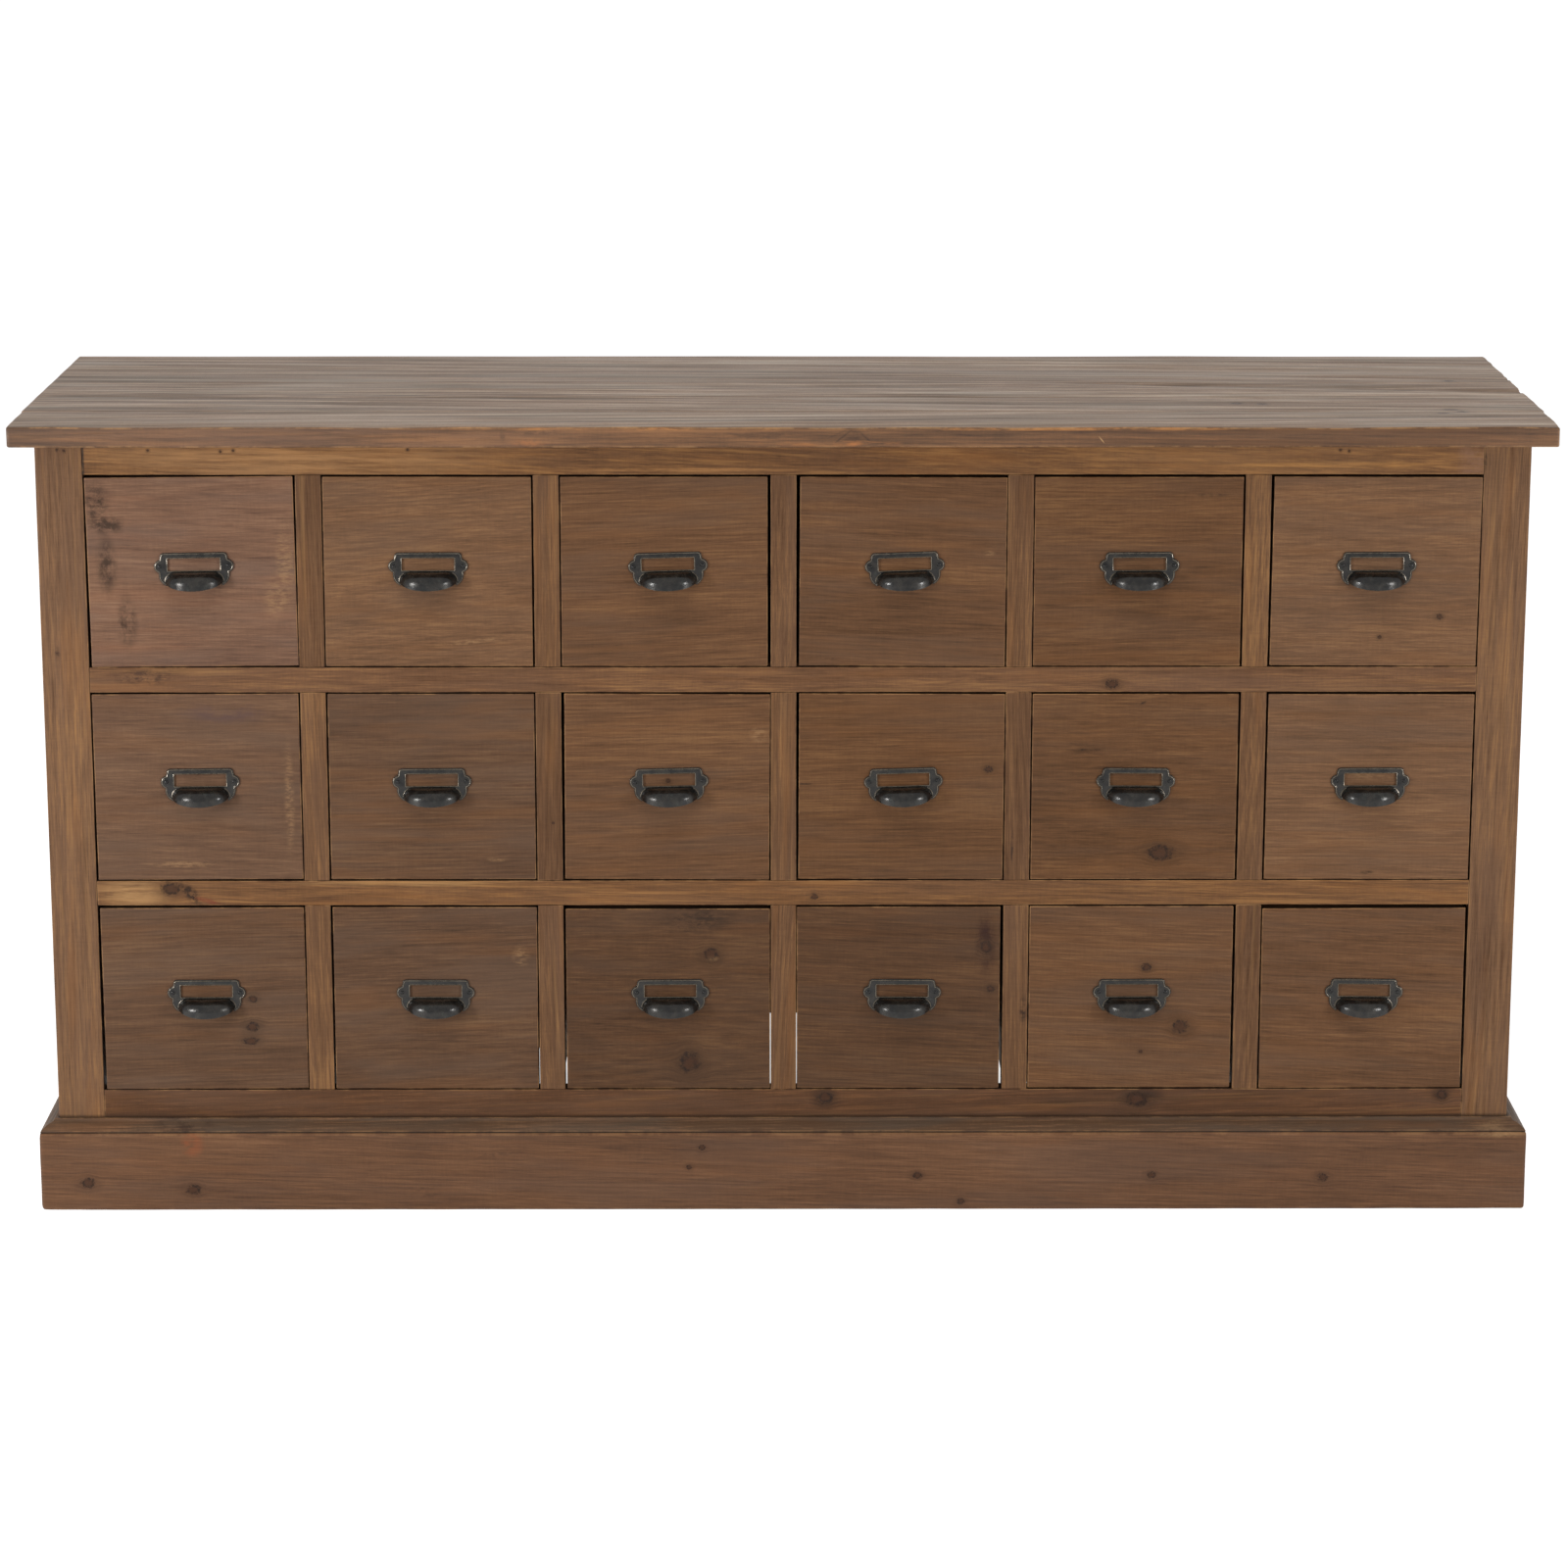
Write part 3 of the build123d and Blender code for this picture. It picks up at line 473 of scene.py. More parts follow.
# finishes that stains share
crack = {"tone": "2E1D13", "from": 0.3}
longCast = {"grit": (5, 5, 90), "from": 0.3}
rubbedLine = {"strength": 0.8, "tone": "AA7442", "grit": (14, 14, 60), "from": 0.45}
topStains = [  # on the front edge
    {"at": (0.0717, 0.8396), "wide": 0.012, "high": 0.014, "strength": 0.8, "tone": "3A2618", "from": 0.36},
    {"at": (-0.02, 0.8405), "wide": 0.09, "high": 0.008, "strength": 0.6, "tone": "3A2618", "grit": (25, 25, 160)},
    {"at": (0.05, 0.832), "wide": 0.12, "high": 0.005, "strength": 0.6, "tone": "9A6438", "grit": (25, 25, 160)},
    {"at": (-0.2567, 0.8449), "wide": 0.035, "high": 0.006, "strength": 0.7, "tone": "3A2618"},
    {"at": (-0.262, 0.8327), "wide": 0.025, "high": 0.006, "strength": 0.7, "tone": "9C6236", "from": 0.36},
    {"at": (-0.289, 0.84), "wide": 0.004, "high": 0.01, "strength": 0.7, "tone": "3A2618", "from": 0.36},
    {"at": (-0.7035, 0.8483), "wide": 0.004, "high": 0.003, "strength": 0.9, "tone": "2A1A10", "from": 0.3},
    {"at": (0.0605, 0.8385), "wide": 0.013, "high": 0.0016, "lean": 38, "strength": 0.85, **crack},
    {"at": (0.056, 0.842), "wide": 0.014, "high": 0.0014, "lean": 24, "strength": 0.8, **crack},
    {"at": (0.083, 0.8395), "wide": 0.012, "high": 0.0018, "lean": -40, "strength": 0.85, **crack},
    {"at": (0.0715, 0.831), "wide": 0.009, "high": 0.003, "strength": 0.9, "tone": "A5683A", "from": 0.3},
    {
        "at": (0.3273, 0.8355), "wide": 0.006, "high": 0.0008, "lean": -50,
        "strength": 0.9, "tone": "C09A6C", "from": 0.2,
    },
    {"at": (-0.5, 0.839), "wide": 0.4, "high": 0.04, "strength": 0.25, "tone": "8E6C57", **longCast},
    {"at": (0.55, 0.838), "wide": 0.3, "high": 0.04, "strength": 0.55, "tone": "5C3A1C", **longCast},
    {"at": (0.2, 0.847), "wide": 0.5, "high": 0.0028, **rubbedLine},
    {"at": (-0.15, 0.847), "wide": 0.3, "high": 0.0026, **rubbedLine},
]
topWood = makeWood("agedTopWood", topLook, topKnots, topStains)


def alongMark(points, mark):  # 1 along the line of a groove or ridge, falling to 0 beside it
    along = (points[:, 0] - mark["at"][0]) / mark["long"]
    across = (points[:, 1] - mark["at"][1] - mark["slope"] * (points[:, 0] - mark["at"][0])) / mark["wide"]
    return np.exp(-across ** 2 - along ** 4)


def brushed(points):  # hollows between the hard lines of the grain, deepest towards the right end
    points = points.copy()
    x, y = points[:, 0], points[:, 1]
    deeper = np.clip(0.35 + 0.8 * x, 0.25, 1)
    drop = wander(points * np.array([0.22, 1.6, 1]), 0.03, 11) * deeper * top["hollow"]
    for mark in top["grooves"]:
        drop += mark["deep"] * alongMark(points, mark)
    nearFront = np.clip(1 - (y + chest["depth"] / 2) / top["arrisWide"], 0, 1) ** 2
    drop += top["arrisDrop"] * nearFront * wander(points * np.array([1, 0, 0]), 0.07, 31)
    points[:, 2] -= drop * np.clip((points[:, 2] - (chest["height"] - top["skin"])) / top["skin"], 0, 1)
    shorter = np.where(x > 0, top["shortRight"], top["shortLeft"])
    shorter = shorter * wander(points * np.array([0, 1, 0]), 0.07, 23)
    shorter += np.where(x > 0, top["notch"] * np.exp(-((y + 0.002) / 0.012) ** 2), 0)
    points[:, 0] -= np.sign(x) * np.clip((np.abs(x) - top["endsFrom"]) / top["endsRun"], 0, 1) * shorter
    return points


plankWidth = chest["depth"] / top["planks"]
planks = []
for i in range(top["planks"]):
    yFrom = -chest["depth"] / 2 + i * plankWidth
    plank = board(
        (-chest["length"] / 2, yFrom, zUnderTop), (chest["length"] / 2, yFrom + plankWidth, chest["height"]), "x",
        seeds["planks"] + i, wear=top["seam"] if i else top["arris"], near=top["near"], step=top["step"], lift=brushed,
    )
    onFace = plank["points"][:, 2] > chest["height"] - top["skin"]
    # the pale ridges' tone is a painted highlight
    shade = sum(mark["shade"] * alongMark(plank["points"], mark) for mark in top["grooves"])
    paler = top["bleach"] * np.clip((plank["points"][:, 0] - 0.2) / 0.5, 0, 1)  # the right end is bleached
    plank["tone"] = top["tones"][i] + (shade + paler) * onFace
    planks.append(plank)
makePiece("topPlanks", planks, [topWood], "carcass", "top_boards")
print("top done")


# Face frame: stiles, rails and muntins
frameWood = {"wear": 0.0011, "near": 0.004, "step": 0.014}
# the frame is darkened inside its gaps and just above the moulding with painted shade
frameLook = {
    "dark": "482F1C", "mid": "684830", "pale": "8F673F", "cast": "624837", "warm": "84572F", "warming": 0.3,
    "streaks": 0.28, "glints": 0.2, "recessShade": (-0.0001, -0.0006, 0.88), "footShade": (0.1025, 0.0985, 0.6),
}
railLook = {
    **frameLook, "mid": "6E4B2D", "pale": "966A3C", "warming": 0.5, "casting": 0.2, "glints": 0.35, "glint": "AC7C49",
}
thinStain = {"strength": 0.5, "tone": "B78A5C", "grit": (6, 6, 140), "from": 0.3}
thinLine = {"grit": (10, 10, 160), "from": 0.3}
darkKnot = {"tone": "20130C", "from": 0.25}
nailHole = {"size": 0.0013, "long": 1.0}
topRailNails = (
    (-0.6575, 0.8206), (-0.5826, 0.8195), (-0.5694, 0.8206), (-0.389, 0.8215), (0.5766, 0.8208), (0.5858, 0.8197),
)
rails = {
    "rail_top": {
        "name": "railTop", "look": railLook,
        "knots": [{"at": spot, **nailHole} for spot in topRailNails],
        "stains": [
            {"at": (-0.5, 0.812), "wide": 0.3, "high": 0.03, **thinStain},
            {"at": (0.5, 0.812), "wide": 0.26, "high": 0.03, **thinStain, "strength": 0.15},
            {"at": (0.58, 0.805), "wide": 0.14, "high": 0.004, "strength": 0.65, "tone": "C8904F", **thinLine},
            {
                "at": (-0.1, 0.8), "wide": 0.16, "high": 0.003,
                "strength": 0.7, "tone": "B98450", **thinLine, "from": 0.35,
            },
            {"at": (-0.7252, 0.811), "wide": 0.0022, "high": 0.04, "strength": 0.95, "tone": "1E130D", "from": 0.1},
            {"at": (0.714, 0.811), "wide": 0.02, "high": 0.04, "strength": 0.6, "tone": "866450", "from": 0.3},
        ],
    },
    "rail_mid_1": {
        "name": "railUpper", "look": frameLook,
        "knots": [{"at": (0.344, 0.5726), "size": 0.0045, "long": 1.5}],
        "stains": [{"at": (-0.666, 0.5808), "wide": 0.05, "high": 0.012, "strength": 0.8, "tone": "33221A"}],
    },
    "rail_mid_2": {
        "name": "railLower", "look": railLook,
        "knots": [{"at": (-0.6476, 0.3515), "size": 0.006, "long": 1.6}, {"at": (0.033, 0.342), "size": 0.003}],
        "stains": [
            {
                "at": (-0.69, 0.3463), "wide": 0.055, "high": 0.02,
                "strength": 0.7, "tone": "A98255", "grit": (16, 16, 190), "from": 0.28,
            },
            {
                "at": (-0.6476, 0.3515), "wide": 0.014, "high": 0.008,
                "strength": 0.7, "tone": "4A3A2A", "grit": (120, 120, 300), "from": 0.3,
            },
            {
                "at": (-0.628, 0.347), "wide": 0.024, "high": 0.009, "lean": -50,
                "strength": 1, "tone": "1E130C", "grit": (170, 170, 170), "from": 0.36,
            },
            {
                "at": (-0.609, 0.338), "wide": 0.02, "high": 0.004, "lean": -16,
                "strength": 0.85, "tone": "6B3322", "from": 0.3,
            },
            {
                "at": (-0.4, 0.357), "wide": 0.16, "high": 0.005,
                "strength": 0.45, "tone": "B48A58", "grit": (8, 8, 160), "from": 0.3,
            },
        ],
    },
    "rail_bottom": {
        "name": "railBottom",
        # its darker tones are painted shade: this rail is painted darker than the rails above it
        "look": {**frameLook, "dark": "3C2717", "mid": "533621", "pale": "764F31", "warming": 0.25, "glints": 0.15},
        "knots": [
            {"at": (0.0443, 0.1195), "size": 0.006, "long": 1.2}, {"at": (0.3779, 0.1175), "size": 0.007, "long": 1.5},
            {"at": (0.7042, 0.1219), "size": 0.005, "long": 1.1},
        ],
        "stains": [
            {"at": (0.384, 0.119), "wide": 0.03, "high": 0.014, "strength": 0.95, **darkKnot},
            {"at": (0.0443, 0.1195), "wide": 0.018, "high": 0.015, "strength": 0.9, **darkKnot},
            {"at": (0.7042, 0.1219), "wide": 0.013, "high": 0.01, "strength": 0.85, **darkKnot},
        ],
    },
}
xReach = xSide - chest["stile"]
for seed, (node, rail) in enumerate(rails.items(), start=seeds["rails"]):
    low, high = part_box(node)
    wood = makeWood(rail["name"] + "Wood", rail["look"], rail["knots"], rail["stains"])
    part = board((-xReach, yFront, low.z), (xReach, yFrameBack, high.z), "x", seed, **frameWood)
    makePiece(rail["name"], [part], [wood], "carcass", node)

stileLook = {**frameLook, "mid": "6C4E36", "ringWidth": 0.0035}
stileKnots = [{"at": (-0.7515, 0.8215), **nailHole}, {"at": (-0.7445, 0.8205), **nailHole}]
stileStains = [
    {"at": (-0.7585, 0.606), "wide": 0.004, "high": 0.01, "strength": 0.9, "tone": "2B1B12", "from": 0.3},
    {
        "at": (0.7275, 0.809), "wide": 0.0022, "high": 0.013,
        "strength": 0.95, "tone": "1E130D", "grit": (200, 200, 200), "from": 0.3,
    },
]
stileWood = makeWood("stileWood", stileLook, stileKnots, stileStains)
for node, name, side in (("stile_left", "stileLeft", -1), ("stile_right", "stileRight", 1)):
    low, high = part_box(node)
    part = board((low.x, yFront, low.z), (high.x, yFrameBack, high.z), "z", seeds["stiles"] + side, **frameWood)
    makePiece(name, [part], [stileWood], "carcass", node)

muntinLook = {**frameLook, "mid": "64462E", "ringWidth": 0.003}
muntinKnots = [{"at": (-0.2426, 0.4228), **nailHole}]
muntinStains = [
    {"at": (0.2555, 0.2176), "wide": 0.006, "high": 0.02, "strength": 0.95, "tone": "241711", "from": 0.3},
    {
        "at": (0.2415, 0.3955), "wide": 0.002, "high": 0.025,
        "strength": 0.85, "tone": "241711", "grit": (200, 200, 60), "from": 0.35,
    },
]
muntinWood = makeWood("muntinWood", muntinLook, muntinKnots, muntinStains)
muntins = []
for row, zFloor in enumerate(chest["floors"]):
    for column, x in enumerate(xMuntins):
        seed = seeds["muntins"] + row * len(xMuntins) + column
        low = (x - chest["muntin"] / 2, yFront, zFloor)
        high = (x + chest["muntin"] / 2, yFrameBack, zFloor + chest["openingHeight"])
        shift = (seed * 37 % 11 - 5) / 80  # some darker, some paler, in no clear order
        muntins.append(board(low, high, "z", seed, toneShift=shift, **frameWood))
makePiece("muntins", muntins, [muntinWood], "carcass", "muntins")
print("face frame done")


# Sides: three upright boards behind each stile, the last one rebated for the back panel
sidePanel = {
    "boards": 3, "tones": (0.03, -0.04, 0.01), "wear": 0.0007, "near": 0.004, "step": 0.025,
    "rebateWide": 0.009, "rebateDeep": 0.006, "rebateFoot": 0.072,
}
sideWood = makeWood("sideWood", {**frameLook, "recessShade": None, "ringWidth": 0.0045})
rebate = {
    "x": xSide - chest["sideThick"] + sidePanel["rebateWide"], "y": yBack - sidePanel["rebateDeep"],
    "z": sidePanel["rebateFoot"],
}
hair = 0.0001  # keeps two faces, or two lines of points, just apart
weld = 0.00001  # points closer than this become one


def rebated(points):
    points = points.copy()
    inside = np.abs(points[:, 0]) < rebate["x"] - hair / 2
    cut = inside & (points[:, 1] > rebate["y"]) & (points[:, 2] > rebate["z"] - hair / 2)
    points[cut, 1] = rebate["y"] - hair
    return points


def cleanMesh(mesh, loops=()):
    shape = bmesh.new()
    shape.from_mesh(mesh)
    shape.verts.ensure_lookup_table()
    for ends in loops:
        shape.faces.new([shape.verts[i] for i in ends])
    bmesh.ops.remove_doubles(shape, verts=shape.verts, dist=weld)
    bmesh.ops.dissolve_degenerate(shape, edges=shape.edges, dist=weld)
    bmesh.ops.recalc_face_normals(shape, faces=shape.faces)
    shape.to_mesh(mesh)
    shape.free()


boardWidth = (yBack - yFrameBack) / sidePanel["boards"]
for way, node, name in ((-1, "side_left", "sideLeft"), (1, "side_right", "sideRight")):
    xPair = sorted((way * xSide, way * (xSide - chest["sideThick"])))
    boards = []
    for i in range(sidePanel["boards"]):
        yFrom = yFrameBack + i * boardWidth
        low, high = (xPair[0], yFrom, 0), (xPair[1], yFrom + boardWidth, zUnderTop)
        last = {}
        if i == sidePanel["boards"] - 1:
            xCuts = (way * rebate["x"], way * (rebate["x"] - hair))
            cuts = (xCuts, (rebate["y"] - hair, rebate["y"]), (rebate["z"] - hair, rebate["z"]))
            last = {"lift": rebated, "cuts": cuts}
        boards.append(board(
            low, high, "z", seeds["sides"] + 10 * way + i, wear=sidePanel["wear"], near=sidePanel["near"],
            step=sidePanel["step"], toneShift=sidePanel["tones"][i], **last))
    cleanMesh(makePiece(name, boards, [sideWood], "carcass", node).data)
print("sides done")


# Plinth and moulding: runs with mitred corners, their sections as (out from the face, up)
plinth = {"height": 0.086, "out": 0.0193, "corner": 0.0045, "rounding": 0.002, "noise": 5}
moulding = {
    "top": 0.0985, "foot": 0.0178, "nose": 0.0018, "ledge": 0.0045, "rounding": 0.0004, "dents": 0.0005,
    "cove": (
        (0.0148, 0.0906), (0.0118, 0.0930), (0.0085, 0.0946), (0.0065, 0.0953), (0.0053, 0.0962), (0.0046, 0.0974),
    ),
}


def mitredRun(section, side, near=0.008, step=0.014):
    # side 0 is the front run, -1 and 1 the runs along the sides
    section = np.array(section)
    out, up = section[:, 0], section[:, 1]
    length = 2 * xSide if side == 0 else yBack - yFront
    stations = linesAcross(0, 1, near / length, step / length)
    rows = []
    for t in stations:
        if side == 0:
            x = -(xSide + out) + t * 2 * (xSide + out)
            rows.append(np.stack([x, yFront - out, up], axis=1))
        else:
            y = (yFront - out) + t * (yBack - yFront + out)
            rows.append(np.stack([side * (xSide + out), y, up], axis=1))
    points = np.concatenate(rows)
    count, total = len(section), len(stations)
    faces = []
    for i in range(total - 1):
        for j in range(count):
            k = (j + 1) % count
            faces.append((i * count + j, i * count + k, (i + 1) * count + k, (i + 1) * count + j))
    return points, faces, list(range(count)), [(total - 1) * count + j for j in range(count)]


def softSection(corners, rounding, spacing=0.006):
    # a closed section with small rounded corners and extra points along its flats
    result, edge = [], []
    total = len(corners)
    for i in range(total):
        before, here, after = (Vector(corners[(i + k) % total]) for k in (-1, 0, 1))
        trim = min(rounding, 0.4 * (before - here).length, 0.4 * (after - here).length)
        start = here + (before - here).normalized() * trim
        end = here + (after - here).normalized() * trim
        sharp = (here - before).angle(after - here) > 0.6
        for t in (0, 0.5, 1):
            result.append(start.lerp(here, t).lerp(here.lerp(end, t), t))
            edge.append(0.8 if sharp else 0.0)
        following = Vector(corners[(i + 1) % total])
        span = (following - here).length
        extra = int(span / spacing)
        for k in range(1, extra):
            result.append(here.lerp(following, k / extra))
            edge.append(0.0)
    return [tuple(p) for p in result], edge


def runPiece(name, node, section, edge, side, seed, material, soften):
    points, faces, first, last = mitredRun(section, side)
    square = points.copy()
    points = soften(points, seed)
    part = {
        "points": points, "faces": np.array(faces), "slot": 0, "tone": 0.0,
        "edge": np.tile(edge, len(points) // len(section)),
        "grain": grainPoints(square, "x" if side == 0 else "y", seed, square.mean(0)),
    }
    cleanMesh(makePiece(name, [part], [material], "carcass", node).data, (first, last))


plinthLook = {
    "dark": "473021", "mid": "64452F", "pale": "7E5A3F", "cast": "5A4538", "warm": "754D30", "wear": 0.3,
}
plinthKnots = [
    {"at": (-0.744, 0.031), "size": 0.005, "long": 1.3}, {"at": (-0.631, 0.023), "size": 0.005, "long": 1.4},
    {"at": (-0.087, 0.07), "size": 0.0028}, {"at": (-0.101, 0.048), "size": 0.0022},
    {"at": (0.143, 0.0386), "size": 0.0035}, {"at": (0.19, 0.0095), "size": 0.003},
    {"at": (0.394, 0.0386), "size": 0.0035}, {"at": (0.577, 0.036), "size": 0.004},
]
plinthStains = [
    {"at": (-0.6315, 0.074), "wide": 0.016, "high": 0.018, "strength": 0.6, "tone": "8A4A2A", "from": 0.3},
    {"at": (-0.3075, 0.064), "wide": 0.05, "high": 0.012, "strength": 0.5, "tone": "3A281E"},
    {"at": (-0.385, 0.02), "wide": 0.03, "high": 0.01, "strength": 0.5, "tone": "3A281E"},
    {"at": (0.765, 0.084), "wide": 0.035, "high": 0.006, "strength": 0.5, "tone": "9E7C56", "from": 0.35},
]
plinthWood = makeWood("plinthWood", plinthLook, plinthKnots, plinthStains)
# the moulding is darkened where it meets the frame and under its nose with painted shade
mouldingLook = {
    **plinthLook, "mid": "4F3A29", "cast": "483D33", "casting": 0.6, "wear": 0.35,
    "recessShade": (0.0024, 0.0005, 0.92), "footShade": (0.088, 0.0867, 0.92),
}
mouldingStains = [
    {"at": (0.76, 0.09), "wide": 0.03, "high": 0.01, "strength": 0.35, "tone": "8F7050", "from": 0.4},
    {"at": (-0.64, 0.095), "wide": 0.04, "high": 0.02, "strength": 0.7, "tone": "2E2019"},
]
mouldingWood = makeWood("mouldingWood", mouldingLook, (), mouldingStains)


def softenPlinth(points, seed):  # one noise for all three runs, so that their mitres meet
    low = np.array([-xSide - plinth["out"], yFront - plinth["out"], 0])
    high = np.array([xSide + plinth["out"], yBack + 0.1, plinth["height"]])  # the back ends stay square
    radius = plinth["corner"] * (0.35 + 0.5 * wander(points, 0.03, plinth["noise"]))
    nearCorner = np.clip((np.abs(points[:, 0]) - xSide) / 0.02, 0, 1)
    return softenEdges(points, low, high, radius * (1 + 0.6 * nearCorner))


def softenMoulding(points, seed):  # dents in the front run; what lies against the frame stays
    points = points.copy()
    dents = moulding["dents"] * wander(points, 0.02, seed)
    nearFront = np.abs(points[:, 1] - yFront) < 0.03
    points[:, 1] += np.where(nearFront, dents * (points[:, 1] < yFront - 0.001), 0)
    return points


zMoulding = plinth["height"]
plinthCorners = [(0, 0), (plinth["out"], 0), (plinth["out"], zMoulding), (0, zMoulding)]
mouldingCorners = [
    (0, zMoulding), (moulding["foot"], zMoulding), (moulding["foot"], zMoulding + moulding["nose"]),
    *moulding["cove"], (moulding["ledge"], moulding["top"]), (0, moulding["top"]),
]
plinthSection = softSection(plinthCorners, plinth["rounding"])
mouldingSection = softSection(mouldingCorners, moulding["rounding"])
for side, where in ((0, "front"), (-1, "left"), (1, "right")):
    for kind, section, wood, soften in (
        ("plinth", plinthSection, plinthWood, softenPlinth),
        ("moulding", mouldingSection, mouldingWood, softenMoulding),
    ):
        runPiece(kind + where.capitalize(), f"{kind}_{where}", *section, side, seeds[kind] + side, wood, soften)
print("plinth and moulding done")


# Drawers: each front sits a little askew in its opening, as the old fronts do
drawer = {
    "gap": 0.0015, "frontThick": 0.02, "boxSide": 0.012, "boxBack": 0.012, "bottom": 0.006, "boxHalf": 0.10225,
    "lift": 0.003, "floorAt": 0.019, "topAt": 0.192, "backTop": 0.186, "end": 0.2, "housing": 0.006,
    "guideFrom": 0.01575, "guideWide": 0.012,
}
frontWear = {"wear": 0.0011, "near": 0.004, "step": 0.012}
boxWear = {"wear": 0.0005, "near": 0.0015, "step": 0.1, "slot": 1}
# the fronts' edges are darkened inside the gaps with painted shade
frontLook = {"recessShade": (-0.0004, -0.0014, 0.94)}
frontLooks = {
    "plain": {**frontLook},
    "light": {**frontLook, "dark": "4E3724", "mid": "6B4C34", "pale": "886544"},
    "deep": {**frontLook, "dark": "412A16", "mid": "5E3F26", "pale": "7B5836", "casting": 0.2},
    "dusk": {**frontLook, "dark": "3C2A1C", "mid": "573D2A", "pale": "71543A", "casting": 0.5},
    "dark": {**frontLook, "dark": "382516", "mid": "533823", "pale": "6E4F32", "warm": "613D21", "cast": "4A382B"},
    "rosy": {**frontLook, "dark": "523A2D", "mid": "6E503D", "pale": "88674F", "cast": "6B564A", "warm": "84573C"},
    "grey": {**frontLook, "dark": "483325", "mid": "614633", "pale": "7A5C43", "casting": 0.5, "warming": 0.15},
}
boxLook = {
    "dark": "6E4E33", "mid": "957148", "pale": "B59063", "cast": "8A7057", "warm": "A8743F", "worn": "C9A673",
    "wear": 0.3, "casting": 0.3, "warming": 0.3, "gloss": 0.25, "roughness": (0.6, 0.78),
}
boxWood = makeWood("drawerBoxWood", boxLook)
smudge = {"strength": 0.85, "tone": "26190F", "from": 0.36}
scuff = {"strength": 0.4, "tone": "A07C57", "grit": (110, 110, 420), "from": 0.4}
# which stain each front took, row by row, and the marks that single it out
frontTones = (
    "rosy", "light", "plain", "plain", "deep", "light",
    "grey", "dusk", "plain", "deep", "deep", "light",
    "dusk", "dusk", "dark", "dark", "plain", "plain",
)
frontKnots = {
    "r1c6": [{"at": (0.685, 0.6446), "size": 0.0026}, {"at": (0.623, 0.6227), "size": 0.0018}],
    "r2c3": [{"at": (-0.1214, 0.4684), "size": 0.002}],
    "r2c4": [{"at": (0.2158, 0.4808), "size": 0.003, "long": 1.4}],
    "r2c5": [{"at": (0.398, 0.39), "size": 0.0075, "long": 1.6}],
    "r3c1": [
        {"at": (-0.5643, 0.23), "size": 0.0035}, {"at": (-0.5651, 0.199), "size": 0.005},
        {"at": (-0.5676, 0.1832), "size": 0.0036, "long": 2},
    ],
    "r3c3": [{"at": (-0.1002, 0.1591), "size": 0.01, "long": 1}, {"at": (-0.0767, 0.279), "size": 0.006}],
    "r3c4": [{"at": (0.2149, 0.287), "size": 0.006, "long": 0.8}, {"at": (0.2203, 0.2404), "size": 0.003}],
    "r3c5": [
        {"at": (0.4235, 0.1988), "size": 0.007, "long": 1.1}, {"at": (0.3812, 0.1705), "size": 0.0016},
        {"at": (0.3858, 0.2641), "size": 0.004},
    ],
}
